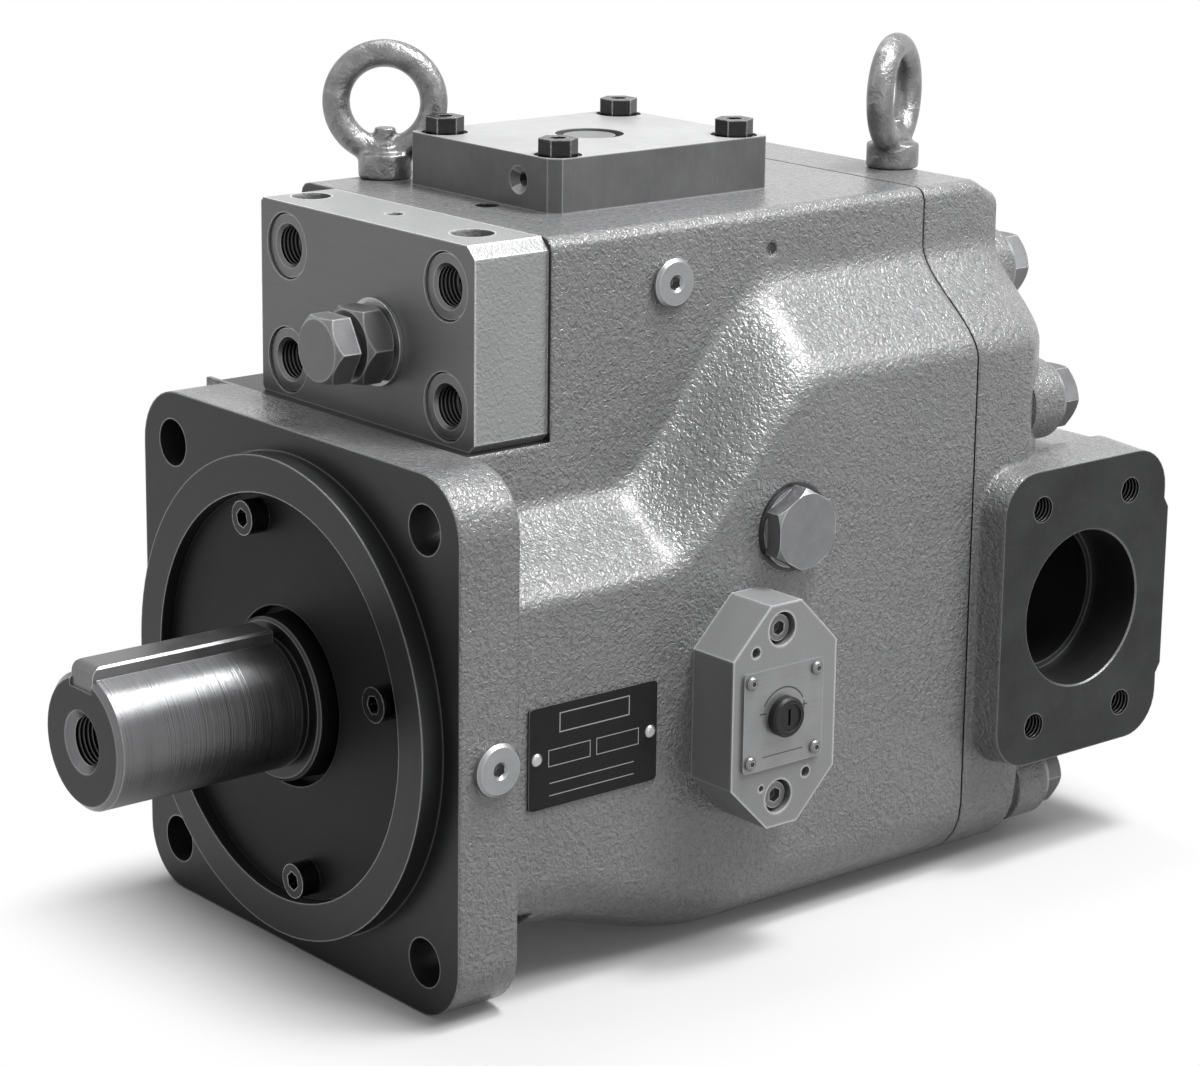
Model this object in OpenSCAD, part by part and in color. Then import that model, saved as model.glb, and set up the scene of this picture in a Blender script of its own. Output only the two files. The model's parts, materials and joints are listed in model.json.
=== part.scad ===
// Variable axial piston pump, in parts. Front flange face at y 0, shaft along -Y, up is +Z. Millimetres.

/* [Mounting flange and pilot] */
// half width of the square flange
flange_half = 99; // [90:0.5:110]
// thickness of the flange
flange_t = 26; // [20:0.5:32]
// corner radius of the flange
flange_corner = 22; // [10:1:30]
// distance between neighbouring flange holes
hole_spacing = 158.4; // [150:0.1:165]
// radius of the flange holes
hole_r = 9; // [8:0.25:10]
// radius of the pilot ring
pilot_r = 90; // [85:0.5:95]
// how far the pilot stands out of the flange face
pilot_h = 9; // [6:0.5:12]
// radius of the recess inside the pilot ring
recess_r = 76; // [72:0.5:80]

/* [Drive shaft] */
// radius of the keyed shaft end
shaft_r = 25; // [22:0.5:28]
// how far the shaft stands out of the flange face
shaft_len = 90; // [75:1:110]
// width of the key
key_w = 14; // [12:0.5:16]
// height of the key
key_h = 9; // [8:0.5:10]
// radius of the seal collar on the shaft
collar_r = 30.5; // [28:0.5:33]

/* [Casting] */
// half width of the barrel
barrel_half = 95; // [90:0.5:99]
// right side of the tower
tower_right = 63; // [58:0.5:70]
// left side of the tower
tower_left = 91; // [80:0.5:94]
// height of the casting's top above the shaft axis
top_z = 171; // [165:0.5:180]
// depth of the flat bottom below the shaft axis
bottom_z = 97; // [95:0.5:98.5]
// depth of the neck's bottom behind the flange
neck_z = 75; // [72:0.5:85]
// length of the casting from the flange face to the split
case_len = 253; // [240:1:270]
// thickness of the gasket at the split
gasket_t = 0.8; // [0.5:0.1:1.5]
// thickness of the rear cover's rim
cover_t = 42.2; // [36:0.2:50]

/* [Ports] */
// distance of the port axis behind the split
port_back = 53; // [48:0.5:57]
// height of the port axis above the shaft axis
port_z = 3; // [-4:0.5:6]
// distance of the suction face from the shaft axis
port_x = 107; // [102:0.5:115]
// radius of the suction bore
suction_r = 31.75; // [30:0.25:33]
// distance of the delivery face from the shaft axis
delivery_x = 104; // [100:0.5:112]
// radius of the delivery bore
delivery_r = 16; // [14:0.25:18]

/* [Rotating group] */
// number of pistons
pistons_n = 9; // [7:1:9]
// radius of the circle the pistons stand on
piston_pitch = 52; // [50:0.5:54]
// radius of one cylinder bore
bore_r = 13; // [11:0.25:13.5]
// radius of the cylinder block
drum_r = 72; // [70:0.5:74]

/* [Controls] */
// height of the adjusting screw above the shaft axis
screw_z = 128; // [124:0.5:132]
// offset of the adjusting screw to the right
screw_x = 4; // [0:0.5:8]
// radius of the adjusting screw's thread
screw_r = 9; // [8:0.5:9]
// height of the swash arm's push point above the shaft axis
push_z = 126; // [122:0.5:130]
// offset of the swash arm's push point to the left
push_x = 24; // [22:0.5:28]

/* [Hidden] */
$fn = 72;
cut = 1;
film = 0.05;
cover_y = case_len + gasket_t;
cover_end = cover_y + cover_t;
port_y = case_len + port_back;
cavity_r = 80;
front_r = 66;
web_y = 50;
step_y = 94;
case_r = 55;
race_r = case_r - 4;
roller_r = 6.45;
roller_pitch = race_r - roller_r - film;
cage_out = race_r - 3;
cage_in = race_r - 10;
seal_r = case_r - 13;
journal_r = case_r - 25;
race_y0 = 20;
race_y1 = 44;
block_y0 = 35;
block_y1 = 68;
block_left = 70;
block_right = 61.5;
block_z0 = 97;
block_mid = (block_right - block_left) / 2;
block_screw_x = 49;
block_screw_z = [111.2, 154.6];
plate_x = -17;
plate_y = 151;
plate_wx = 88;
plate_wy = 106;
plate_t = 20.5;
plate_top = top_z + plate_t;
plate_in = 9.5;
eye_front = [-80, 100];
eye_rear = [17, case_len + 28];
swash_y = 108;
saddle_r = 52;
drum_y0 = 150;
valve_t = 7;
valve_y0 = cover_y - valve_t;
drum_y1 = valve_y0 - film;
bore_end = drum_y1 - 12.75;
clip_y = drum_y1 - 10.75;
clip_t = 2.2;
ring_t = 4;
spline_end = drum_y0 + 31;
ball_y = 121;
kidney_in = 43;
kidney_out = 61;
rear_pocket = 34;
seal_bolt_r = 67;
seal_bolt_a = 13;
cover_face = -4;
neck_y = 10.5;
oct_y = 135.5;
oct_z = -4.6;
oct_x1 = barrel_half + 22;
knob_y = 134;
knob_z = -4.3;
tag_y0 = 33.2;
tag_y1 = 92.6;
tag_z0 = -26.2;
tag_z1 = 12;
drain_y = 158;
drain_z = 58;
tower_plug = [124.4, 148.7];
flange_plug = [16, -5];
flange_plug_r = 9.7;
cover_bolts_at = [[48, 133], [78, 84], [78, -74], [-78, -74], [-78, 84], [-74, 133]];
dowels_at = [[87, -20], [-87, 20]];

function ease(t) = t <= 0 ? 0 : t >= 1 ? 1 : t * t * (3 - 2 * t);
function arc(cx, cz, r, a0, a1, n) =
  [for (i = [0 : n]) let (a = a0 + (a1 - a0) * i / n) [cx + r * cos(a), cz + r * sin(a)]];
function low_edge(y) = 52 + 62 * ease((y - 95) / 80);
function high_edge(y) = 73 + 71.5 * ease((y - 95) / 80);
function floor_at(y) = -neck_z - (bottom_z - neck_z) * ease((y - 30) / 100);
function wall(y, in) =
  let (zl = low_edge(y) - 5, zu = high_edge(y) + 5 - in / 2, zb = floor_at(y) + in, rc = 26,
       b = barrel_half - 1.3 * in, tr = tower_right - in / 3, tl = tower_left - in, tz = top_z - in, rt = 5)
  concat(
    arc(-b + rc, zb + rc, rc, 180, 270, 6),
    arc(b - rc, zb + rc, rc, 270, 360, 6),
    [for (i = [0 : 15]) let (t = i / 15) [b - (b - tr) * ease(t), zl + (zu - zl) * t]],
    arc(tr - rt, tz - rt, rt, 0, 90, 3),
    arc(-tl + rt, tz - rt, rt, 90, 180, 3));

// A solid through a row of wall outlines, given as [y, inset] pairs.
module loft(rows) {
  n = len(wall(rows[0][0], rows[0][1]));
  m = len(rows);
  pts = [for (r = rows) for (p = wall(r[0], r[1])) [p[0], r[0] + r[2], p[1]]];
  side = [for (k = [0 : m - 2]) for (i = [0 : n - 1])
    let (j = (i + 1) % n, a = k * n + i, b = k * n + j, c = (k + 1) * n + j, d = (k + 1) * n + i)
    each [[a, b, c], [a, c, d]]];
  front = [[for (i = [0 : n - 1]) n - 1 - i]];
  back = [[for (i = [0 : n - 1]) (m - 1) * n + i]];
  polyhedron(concat(pts), concat(front, side, back), 10);
}

// A round-wire coil along Y.
module coil(r, w, y0, y1, turns) {
  n = 18 * turns;
  m = 6;
  pts = [for (i = [0 : n]) let (a = 360 * turns * i / n, y = y0 + w + (y1 - y0 - 2 * w) * i / n)
    for (j = [0 : m - 1]) let (b = 360 * j / m)
    [(r + w * cos(b)) * cos(a), y + w * sin(b), (r + w * cos(b)) * sin(a)]];
  side = [for (i = [0 : n - 1]) for (j = [0 : m - 1])
    let (k = (j + 1) % m, a = i * m + j, b = i * m + k, c = (i + 1) * m + k, d = (i + 1) * m + j)
    each [[a, d, c], [a, c, b]]];
  polyhedron(pts, concat([[for (j = [0 : m - 1]) j]], side,
    [[for (j = [0 : m - 1]) n * m + m - 1 - j]]), 10);
}

module yc(r, y0, y1) {
  translate([0, y0, 0]) rotate([-90, 0, 0]) cylinder(r = r, h = y1 - y0);
}

module ycone(r0, r1, y0, y1) {
  translate([0, y0, 0]) rotate([-90, 0, 0]) cylinder(r1 = r0, r2 = r1, h = y1 - y0);
}

module xc(r, x0, x1) {
  translate([x0, 0, 0]) rotate([0, 90, 0]) cylinder(r = r, h = x1 - x0);
}

module xcone(r0, r1, x0, x1) {
  translate([x0, 0, 0]) rotate([0, 90, 0]) cylinder(r1 = r0, r2 = r1, h = x1 - x0);
}

module zc(r, z0, z1) {
  translate([0, 0, z0]) cylinder(r = r, h = z1 - z0);
}

module yhex(af, y0, y1) {
  translate([0, y0, 0]) rotate([-90, 0, 0]) cylinder(r = af / sqrt(3), h = y1 - y0, $fn = 6);
}

module xhex(af, x0, x1) {
  translate([x0, 0, 0]) rotate([0, 90, 0]) cylinder(r = af / sqrt(3), h = x1 - x0, $fn = 6);
}

module zhex(af, z0, z1) {
  translate([0, 0, z0]) cylinder(r = af / sqrt(3), h = z1 - z0, $fn = 6);
}

module yprism(y0, y1) {
  translate([0, y1, 0]) rotate([90, 0, 0]) linear_extrude(height = y1 - y0) children();
}

module xprism(x0, x1) {
  translate([x0, 0, 0]) rotate([90, 0, 90]) linear_extrude(height = x1 - x0) children();
}

module box(a, b) {
  translate(a) cube([b[0] - a[0], b[1] - a[1], b[2] - a[2]]);
}

module at_xz(list) {
  for (p = list) translate([p[0], 0, p[1]]) children();
}

module flange_holes() {
  h = hole_spacing / 2;
  at_xz([[-h, h], [h, h], [-h, -h], [h, -h]]) children();
}

module seal_bolts() {
  for (i = [0 : 3]) rotate([0, -seal_bolt_a - 90 * i, 0]) translate([seal_bolt_r, 0, 0]) children();
}

module block_screws() {
  for (sx = [-1, 1]) for (z = block_screw_z)
    translate([block_mid + sx * block_screw_x, 0, z]) children();
}

module plate_bolts() {
  for (sx = [-1, 1]) for (sy = [-1, 1])
    translate([plate_x + sx * (plate_wx / 2 - plate_in), plate_y + sy * (plate_wy / 2 - plate_in), 0])
      children();
}

// One of the curved slots that lead oil past the valve plate, as a sector about the shaft.
module kidney(a, half, y0, y1) {
  rotate([0, -a, 0]) intersection() {
    difference() {
      yc(kidney_out, y0, y1);
      yc(kidney_in, y0 - cut, y1 + cut);
    }
    yprism(y0 - cut, y1 + cut)
      polygon([[0, 0], [90 * cos(half), -90 * sin(half)], [110, 0], [90 * cos(half), 90 * sin(half)]]);
  }
}

module body_casting() color([0.42, 0.43, 0.44]) {
  difference() {
    union() {
      loft([for (y = [flange_t - 2, 60, 95, 102, 109, 116, 123, 129, 135, 141, 147, 154, 161, 168, 175, 200, case_len])
        [y, 0, 0]]);
      yprism(0, flange_t) polygon(concat(
        arc(flange_half - flange_corner, flange_half - flange_corner, flange_corner, 0, 90, 10),
        arc(-flange_half + flange_corner, flange_half - flange_corner, flange_corner, 90, 180, 10),
        arc(-flange_half + flange_corner, -flange_half + flange_corner, flange_corner, 180, 270, 10),
        arc(flange_half - flange_corner, -flange_half + flange_corner, flange_corner, 270, 360, 10)));
      yc(pilot_r, -pilot_h, cut);
    }
    box([-150, flange_t, block_z0], [150, block_y1, 200]);
    box([-150, -cut, flange_half], [150, flange_t + cut, 200]);
    yc(recess_r, -pilot_h - cut, 10);
    yc(case_r, 5, race_y1);
    yc(race_r - 4, race_y1 - cut, web_y + cut);
    yc(front_r, web_y, step_y + cut);
    yc(cavity_r, step_y, case_len + cut);
    flange_holes() yc(hole_r, -cut, flange_t + cut);
    flange_holes() yc(15.5, flange_t, flange_t + 14);
    seal_bolts() yc(4, 5, 30);
    box([-push_x - 16, 88, 60], [-push_x + 16, 132, 146]);
    translate([-push_x, 0, push_z]) yc(26, 131, case_len + cut);
    translate([-push_x, 0, push_z]) yc(13, block_y1 - cut, 90);
    translate([screw_x, 0, screw_z]) yc(10, block_y1 - cut, 84);
    translate([screw_x, 0, screw_z]) yc(5 + film, 83, 114);
    block_screws() yc(8, block_y1 - cut, 92);
    plate_bolts() zc(4, top_z - 18, top_z + cut);
    translate([eye_front[0], eye_front[1], 0]) zc(6, top_z - 22, top_z + cut);
    translate([-5, 92, 0]) zc(4.5, top_z - 14, top_z + cut);
    at_xz(cover_bolts_at) yc(8, case_len - 26, case_len + cut);
    at_xz(dowels_at) yc(4, case_len - 10, case_len + cut);
    translate([0, tower_plug[0], tower_plug[1]]) xc(6, tower_right - 12, tower_right + cut);
    translate([0, 173.5, 155.7]) xc(2.6, tower_right - 2, tower_right + 4);
    translate([0, flange_plug[0], flange_plug[1]]) xc(5.5, flange_half - 12, flange_half + cut);
    translate([0, drain_y, drain_z]) xc(13, 50, barrel_half + cut);
    translate([0, drain_y, drain_z]) xc(17.2, barrel_half - 0.6, barrel_half + cut);
    translate([0, oct_y - 2, 0]) for (s = [-1, 1]) translate([0, 0, oct_z + 1 + s * 32])
      xc(3, barrel_half - 13, barrel_half + cut);
    for (y = [tag_y0 + 3.5, tag_y1 - 3.5]) translate([0, y, (tag_z0 + tag_z1) / 2])
      xc(1.2, barrel_half - 6, barrel_half + cut);
  }
}

module cover_gasket() color([0.12, 0.12, 0.12]) {
  difference() {
    yprism(case_len, cover_y) polygon(wall(case_len, 0.6));
    yc(cavity_r - 1, case_len - cut, cover_y + cut);
    at_xz(cover_bolts_at) yc(8.8, case_len - cut, cover_y + cut);
    at_xz(dowels_at) yc(4, case_len - cut, cover_y + cut);
  }
}

// A pad's or plate's outline, rounded at the corners, with a wider middle at the rear where step is over 0.
function port_pad(y, z, hy, hz, r, step) =
  concat(
    arc(y - hy + r, z - hz + r, r, 180, 270, 8),
    arc(y + hy - r, z - hz + r, r, 270, 360, 8),
    step > 0 ? [[y + hy, z - hz + 24], [y + hy + step, z - hz + 28], [y + hy + step, z + hz - 26],
      [y + hy, z + hz - 22]] : [],
    arc(y + hy - r, z + hz - r, r, 0, 90, 8),
    arc(y - hy + r, z + hz - r, r, 90, 180, 8));

// The cast neck of a pad, from one outline in the wall to another at the pad's rim.
module pad_neck(a, b, x0, x1) {
  n = len(a);
  polyhedron(concat([for (p = a) [x0, p[0], p[1]]], [for (p = b) [x1, p[0], p[1]]]), concat(
    [[for (i = [0 : n - 1]) i]], [[for (i = [0 : n - 1]) 2 * n - 1 - i]],
    [for (i = [0 : n - 1]) for (t = [[i, n + i, n + (i + 1) % n], [i, n + (i + 1) % n, (i + 1) % n]]) t]), 10);
}

module rear_cover() color([0.42, 0.43, 0.44]) {
  difference() {
    union() {
      loft([[case_len, 0, gasket_t], [case_len, 0, gasket_t + 30], [case_len, 6, gasket_t + cover_t]]);
      xprism(0, port_x) polygon(port_pad(port_y, port_z, 46.5, 60, 17, 2.5));
      pad_neck(port_pad(port_y - 2, port_z, 49.5, 61.5, 18, 0), port_pad(port_y, port_z, 46.5, 60, 17, 0),
        barrel_half - 12, port_x - 3);
      xprism(-delivery_x, 0) polygon(port_pad(port_y, port_z, 38, 50, 15, 0));
      at_xz(cover_bolts_at) yc(16.5, cover_end - 8, cover_end + 8);
    }
    yc(rear_pocket, cover_y - cut, cover_y + 30);
    kidney(0, 56, cover_y - cut, port_y - 14);
    kidney(180, 50, cover_y - cut, port_y - 6);
    translate([0, port_y, port_z]) xc(suction_r, port_x - 24, port_x + cut);
    translate([0, port_y, port_z]) xc(suction_r - 2.5, 44, port_x - 23);
    translate([0, port_y, port_z]) xcone(suction_r - 0.5, suction_r + 1.5, port_x - 1, port_x + 1);
    translate([0, port_y, port_z]) xc(delivery_r, -delivery_x - cut, -64);
    translate([0, port_y, port_z]) xc(delivery_r - 2, -65, -44);
    for (sy = [-1, 1]) for (sz = [-1, 1]) {
      translate([0, port_y + sy * 25.4, port_z + sz * 44.45]) xc(5.1, port_x - 26, port_x + cut);
      translate([0, port_y + sy * 15.9, port_z + sz * 33.3]) xc(6, -delivery_x - cut, -delivery_x + 26);
    }
    at_xz(cover_bolts_at) yc(8.8, cover_y - cut, cover_end + 9);
    at_xz(dowels_at) yc(4, cover_y - cut, cover_y + 11);
    translate([0, 0, -68]) yc(2.5, cover_y - cut, cover_y + 6);
    translate([eye_rear[0], eye_rear[1], 0]) zc(6, top_z - 22, top_z + cut);
  }
}

module cover_bolts() color([0.2, 0.2, 0.21]) {
  at_xz(cover_bolts_at) union() {
    intersection() {
      yhex(24, cover_end + 11, cover_end + 21);
      ycone(24, 11.6, cover_end + 11, cover_end + 21.2);
    }
    yc(8, case_len - 24, cover_end + 12);
  }
}

module cover_washers() color([0.55, 0.55, 0.57]) {
  at_xz(cover_bolts_at) difference() {
    yc(15, cover_end + 8, cover_end + 11);
    yc(8.5, cover_end + 7, cover_end + 12);
  }
}

module dowel_pins() color([0.6, 0.6, 0.62]) {
  at_xz(dowels_at) yc(4, case_len - 9, cover_y + 10);
}

module seal_cover() color([0.16, 0.16, 0.17]) {
  difference() {
    union() {
      yc(recess_r - film, cover_face, 10);
      yc(case_r - film, 9, race_y0);
    }
    yc(33.5, cover_face - cut, 4);
    yc(seal_r, 3, race_y0 + cut);
    difference() {
      yc(case_r + cut, 12.5, 16.5);
      yc(case_r - 3.3, 12, 17);
    }
    seal_bolts() yc(4.5, cover_face - cut, 11);
  }
}

module seal_cover_screws() color([0.08, 0.08, 0.08]) {
  seal_bolts() difference() {
    union() {
      yc(6.5, cover_face - 8, cover_face);
      yc(4, cover_face - 1, 28);
    }
    yhex(6, cover_face - 9, cover_face - 4);
  }
}

module shaft_seal() color([0.1, 0.1, 0.1]) {
  difference() {
    yc(seal_r, 3, 15);
    yc(collar_r + 0.3, 2, 16);
    difference() {
      yc(seal_r - 4, 8, 16);
      yc(collar_r + 4.5, 7, 17);
    }
  }
}

module cover_o_ring() color([0.06, 0.06, 0.06]) {
  translate([0, 14.5, 0]) rotate([-90, 0, 0]) rotate_extrude() translate([case_r - 1.7, 0]) circle(r = 1.6);
}

module front_outer_race() color([0.7, 0.7, 0.72]) {
  difference() {
    yc(case_r, race_y0, race_y1);
    yc(race_r, race_y0 - cut, race_y1 + cut);
  }
}

module front_rollers() color([0.75, 0.75, 0.77]) {
  for (i = [0 : 13]) rotate([0, 360 / 14 * i, 0]) translate([roller_pitch, 0, 0])
    yc(roller_r, race_y0 + 3, race_y1 - 3);
}

module front_cage() color([0.7, 0.6, 0.35]) {
  difference() {
    union() {
      yc(cage_out, race_y0 + 0.8, race_y0 + 2.8);
      yc(cage_out, race_y1 - 2.8, race_y1 - 0.8);
      for (i = [0 : 13]) rotate([0, 360 / 14 * (i + 0.5), 0]) translate([roller_pitch, 0, 0])
        yc(2.5, race_y0 + 1, race_y1 - 1);
    }
    yc(cage_in, race_y0, race_y0 + 2.9);
    yc(cage_in, race_y1 - 2.9, race_y1);
  }
}

module front_inner_race() color([0.7, 0.7, 0.72]) {
  difference() {
    yc(cage_in - 3, race_y0, race_y1);
    yc(journal_r, race_y0 - cut, race_y1 + cut);
  }
}

module rear_outer_race() color([0.7, 0.7, 0.72]) {
  difference() {
    yc(rear_pocket, cover_y + 3, cover_y + 30);
    yc(30, cover_y + 2, cover_y + 31);
  }
}

module rear_rollers() color([0.75, 0.75, 0.77]) {
  for (i = [0 : 15]) rotate([0, 22.5 * i, 0]) translate([27, 0, 0]) yc(2.95, cover_y + 6, cover_y + 25);
}

module rear_cage() color([0.7, 0.6, 0.35]) {
  difference() {
    union() {
      yc(29, cover_y + 4, cover_y + 5.8);
      yc(29, cover_y + 25.2, cover_y + 27);
      for (i = [0 : 15]) rotate([0, 22.5 * (i + 0.5), 0]) translate([27, 0, 0])
        yc(1.6, cover_y + 4.5, cover_y + 26.5);
    }
    yc(24.9, cover_y + 3, cover_y + 6);
    yc(24.9, cover_y + 25, cover_y + 28);
  }
}

module rear_inner_race() color([0.7, 0.7, 0.72]) {
  difference() {
    yc(24, cover_y + 3, cover_y + 28);
    yc(20, cover_y + 2, cover_y + 29);
  }
}

// Outline of the splined length, shared by the shaft and the cylinder block.
module spline(grow) {
  n = 20;
  polygon([for (i = [0 : n - 1]) for (q = [[-6, 22.5], [-3, 24.5], [3, 24.5], [6, 22.5]])
    let (a = 360 / n * i + q[0], r = q[1] + grow) [r * cos(a), r * sin(a)]]);
}

module shaft() color([0.78, 0.78, 0.8]) {
  difference() {
    union() {
      ycone(shaft_r - 2, shaft_r, -shaft_len, -shaft_len + 2);
      yc(shaft_r, -shaft_len + 2, -neck_y - 3);
      yc(shaft_r - 0.9, -neck_y - 4, 0);
      ycone(collar_r - 1.2, collar_r, -neck_y, -neck_y + 1.2);
      yc(collar_r, -neck_y + 1.2, race_y0);
      yc(journal_r, race_y0 - cut, race_y1 + 4);
      yc(26, race_y1 + 3, 124);
      yprism(123, cover_y + 3) spline(0);
      yc(20, cover_y + 2, cover_y + 29);
    }
    box([-key_w / 2, -shaft_len - cut, shaft_r - 5.5], [key_w / 2, -neck_y - 3.5, shaft_r + 10]);
    yc(8.75, -shaft_len - cut, -shaft_len + 42);
    ycone(12, 8.5, -shaft_len - 0.5, -shaft_len + 3);
    difference() {
      yc(journal_r + 1, race_y1, race_y1 + clip_t);
      yc(journal_r - 1.5, race_y1 - cut, race_y1 + 3);
    }
  }
}

module shaft_key() color([0.72, 0.72, 0.74]) {
  w = key_w / 2;
  z0 = shaft_r - 5.5;
  y0 = -shaft_len + 0.8;
  y1 = -neck_y - 3.5;
  top = z0 + key_h;
  intersection() {
    yprism(y0, y1)
      polygon([[-w, z0], [w, z0], [w, top - 0.8], [w - 0.8, top], [-w + 0.8, top], [-w, top - 0.8]]);
    xprism(-w, w) polygon(concat([[y0, z0], [y1, z0], [y1, top]], arc(y0 + 4, top - 4, 4, 90, 180, 8)));
  }
}

module shaft_circlip() color([0.3, 0.3, 0.3]) {
  difference() {
    yc(journal_r + 4.5, race_y1, race_y1 + clip_t);
    yc(journal_r - 1.5, race_y1 - cut, race_y1 + 3);
    box([-4, race_y1 - cut, 0], [4, race_y1 + 3, 40]);
  }
}

module around_pistons() {
  for (i = [0 : pistons_n - 1]) rotate([0, -360 / pistons_n * i, 0]) translate([piston_pitch, 0, 0])
    children();
}

module cylinder_block() color([0.62, 0.6, 0.52]) {
  difference() {
    yc(drum_r, drum_y0, drum_y1);
    around_pistons() yc(bore_r, drum_y0 - cut, bore_end);
    around_pistons() yc(bore_r / 2, bore_end - cut, drum_y1 + cut);
    yprism(drum_y0 - cut, spline_end) spline(film);
    yc(34, spline_end - cut, drum_y1 + cut);
    difference() {
      yc(36, clip_y, clip_y + clip_t);
      yc(33, clip_y - cut, clip_y + clip_t + cut);
    }
    for (i = [0 : 2]) rotate([0, 120 * i + 30, 0]) translate([28.6, 0, 0])
      yc(2.5 + film, drum_y0 - cut, spline_end);
  }
}

module pistons() color([0.7, 0.7, 0.73]) {
  around_pistons() difference() {
    union() {
      translate([0, ball_y, 0]) sphere(r = 9);
      yc(6.5, ball_y, 137);
      yc(bore_r - film, 135, 214);
    }
    yc(8, 160, 215);
    yc(1.2, ball_y - 10, 161);
  }
}

module slippers() color([0.72, 0.6, 0.32]) {
  around_pistons() difference() {
    union() {
      yc(16.4, swash_y + film, swash_y + 4.2);
      yc(11.8, swash_y + 4, 126);
    }
    translate([0, ball_y, 0]) rotate([-90, 0, 0]) sphere(r = 9 + film);
    yc(1.2, swash_y - cut, ball_y);
  }
}

module retainer_plate() color([0.6, 0.6, 0.62]) {
  difference() {
    yc(69, swash_y + 4.2, 118);
    around_pistons() yc(12, swash_y, 119);
    translate([0, swash_y, 0]) sphere(r = 36 + film);
  }
}

module ball_guide() color([0.6, 0.58, 0.5]) {
  difference() {
    union() {
      intersection() {
        translate([0, swash_y, 0]) sphere(r = 36);
        yc(40, 112.5, 126);
      }
      yc(31, 125, 148);
    }
    yc(26 + film, 112, 149);
  }
}

module push_pins() color([0.7, 0.7, 0.72]) {
  for (i = [0 : 2]) rotate([0, 120 * i + 30, 0]) translate([28.6, 0, 0]) yc(2.5, 148, spline_end);
}

module spring_rings() color([0.55, 0.55, 0.57]) {
  for (y = [spline_end, clip_y - ring_t]) difference() {
    yc(34 - film, y, y + ring_t);
    yc(25.2, y - cut, y + ring_t + cut);
  }
}

module block_spring() color([0.35, 0.35, 0.36]) {
  coil(29.4, 2.4, spline_end + ring_t, clip_y - ring_t, 6);
}

module block_circlip() color([0.3, 0.3, 0.3]) {
  difference() {
    yc(36, clip_y, clip_y + clip_t);
    yc(30, clip_y - cut, clip_y + clip_t + cut);
    box([-5, clip_y - cut, 0], [5, clip_y + clip_t + cut, 40]);
  }
}

module swash_plate() color([0.55, 0.55, 0.57]) {
  difference() {
    union() {
      yc(72, 96, swash_y);
      intersection() {
        union() {
          for (s = [-1, 1]) translate([0, swash_y, 0]) xc(saddle_r - 2 - film, s > 0 ? 34 : -58, s > 0 ? 58 : -34);
        }
        yc(64, 50, 97);
      }
      box([-push_x - 10, 94, 56], [-push_x + 10, swash_y, 138]);
      box([-push_x - 10, 94, 74], [-push_x + 10, 110, 138]);
    }
    yc(40, 50, swash_y + cut);
  }
}

module cradle_block() color([0.45, 0.46, 0.47]) {
  difference() {
    yc(front_r, web_y, 88);
    translate([0, swash_y, 0]) xc(saddle_r, -70, 70);
    yc(34, web_y - cut, 89);
  }
}

module cradle_bearings() color([0.65, 0.6, 0.45]) {
  for (s = [-1, 1]) intersection() {
    difference() {
      translate([0, swash_y, 0]) xc(saddle_r, s > 0 ? 36 : -56, s > 0 ? 56 : -36);
      translate([0, swash_y, 0]) xc(saddle_r - 2, -80, 80);
    }
    yc(64, 50, 82);
  }
}

module valve_plate() color([0.72, 0.58, 0.35]) {
  difference() {
    yc(74, valve_y0, cover_y);
    yc(33, valve_y0 - cut, cover_y + cut);
    kidney(0, 56, valve_y0 - cut, cover_y + cut);
    for (a = [146, 180, 214]) kidney(a, 14, valve_y0 - cut, cover_y + cut);
    translate([0, 0, -68]) yc(2.5, valve_y0 + 3, cover_y + cut);
  }
}

module valve_plate_pin() color([0.6, 0.6, 0.62]) {
  translate([0, 0, -68]) yc(2.5, valve_y0 + 3, cover_y + 6);
}

module control_piston() color([0.7, 0.7, 0.72]) {
  translate([-push_x, 0, push_z]) difference() {
    union() {
      yc(9, 110, 137);
      yc(20 - film, 136, 200);
    }
    yc(13, 160, 201);
  }
}

module control_sleeve() color([0.5, 0.5, 0.52]) {
  translate([-push_x, 0, push_z]) difference() {
    yc(26, 134, case_len);
    yc(20, 133, case_len - 17);
  }
}

module bias_piston() color([0.7, 0.7, 0.72]) {
  translate([-push_x, 0, push_z]) difference() {
    union() {
      yc(13 - film, block_y1 + 0.5, 89);
      yc(6, 88, 94);
    }
    yc(10.4, block_y1, 84);
  }
}

module bias_spring() color([0.35, 0.35, 0.36]) {
  translate([-push_x, 0, push_z]) coil(8.4, 1.5, 44, 84, 7);
}

module valve_block() color([0.4, 0.41, 0.42]) {
  difference() {
    yprism(block_y0, block_y1)
      polygon([[-block_left + 1.5, block_z0], [block_right - 3, block_z0], [block_right, block_z0 + 3],
        [block_right, top_z - 4.5], [block_right - 4.5, top_z], [-block_left + 1.5, top_z],
        [-block_left, top_z - 1.5], [-block_left, block_z0 + 1.5]]);
    block_screws() yc(12.6, block_y0 - cut, 52);
    block_screws() yc(8.8, 51, block_y1 + cut);
    translate([screw_x, 0, screw_z]) yc(screw_r + film, block_y0 - cut, 57);
    translate([screw_x, 0, screw_z]) yc(10, 56, block_y1 + cut);
    translate([-push_x, 0, push_z]) yc(13, 44, block_y1 + cut);
    translate([-60, 51, 0]) zc(7.5, top_z - 16, top_z + cut);
    translate([38, 52, 0]) zc(8, top_z - 12, top_z + cut);
    translate([-10, 53, 0]) zc(3.3, top_z - 10, top_z + cut);
    translate([0, 44, 136]) xc(4, -block_left - cut, -block_left + 12);
  }
}

module valve_block_screws() color([0.24, 0.24, 0.25]) {
  block_screws() difference() {
    union() {
      yc(12, 36, 52);
      yc(8, 51, 90);
    }
    yc(7.2, 35, 46);
    ycone(9, 7, 35.5, 37.5);
    yhex(12, 45, 49);
  }
}

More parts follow.
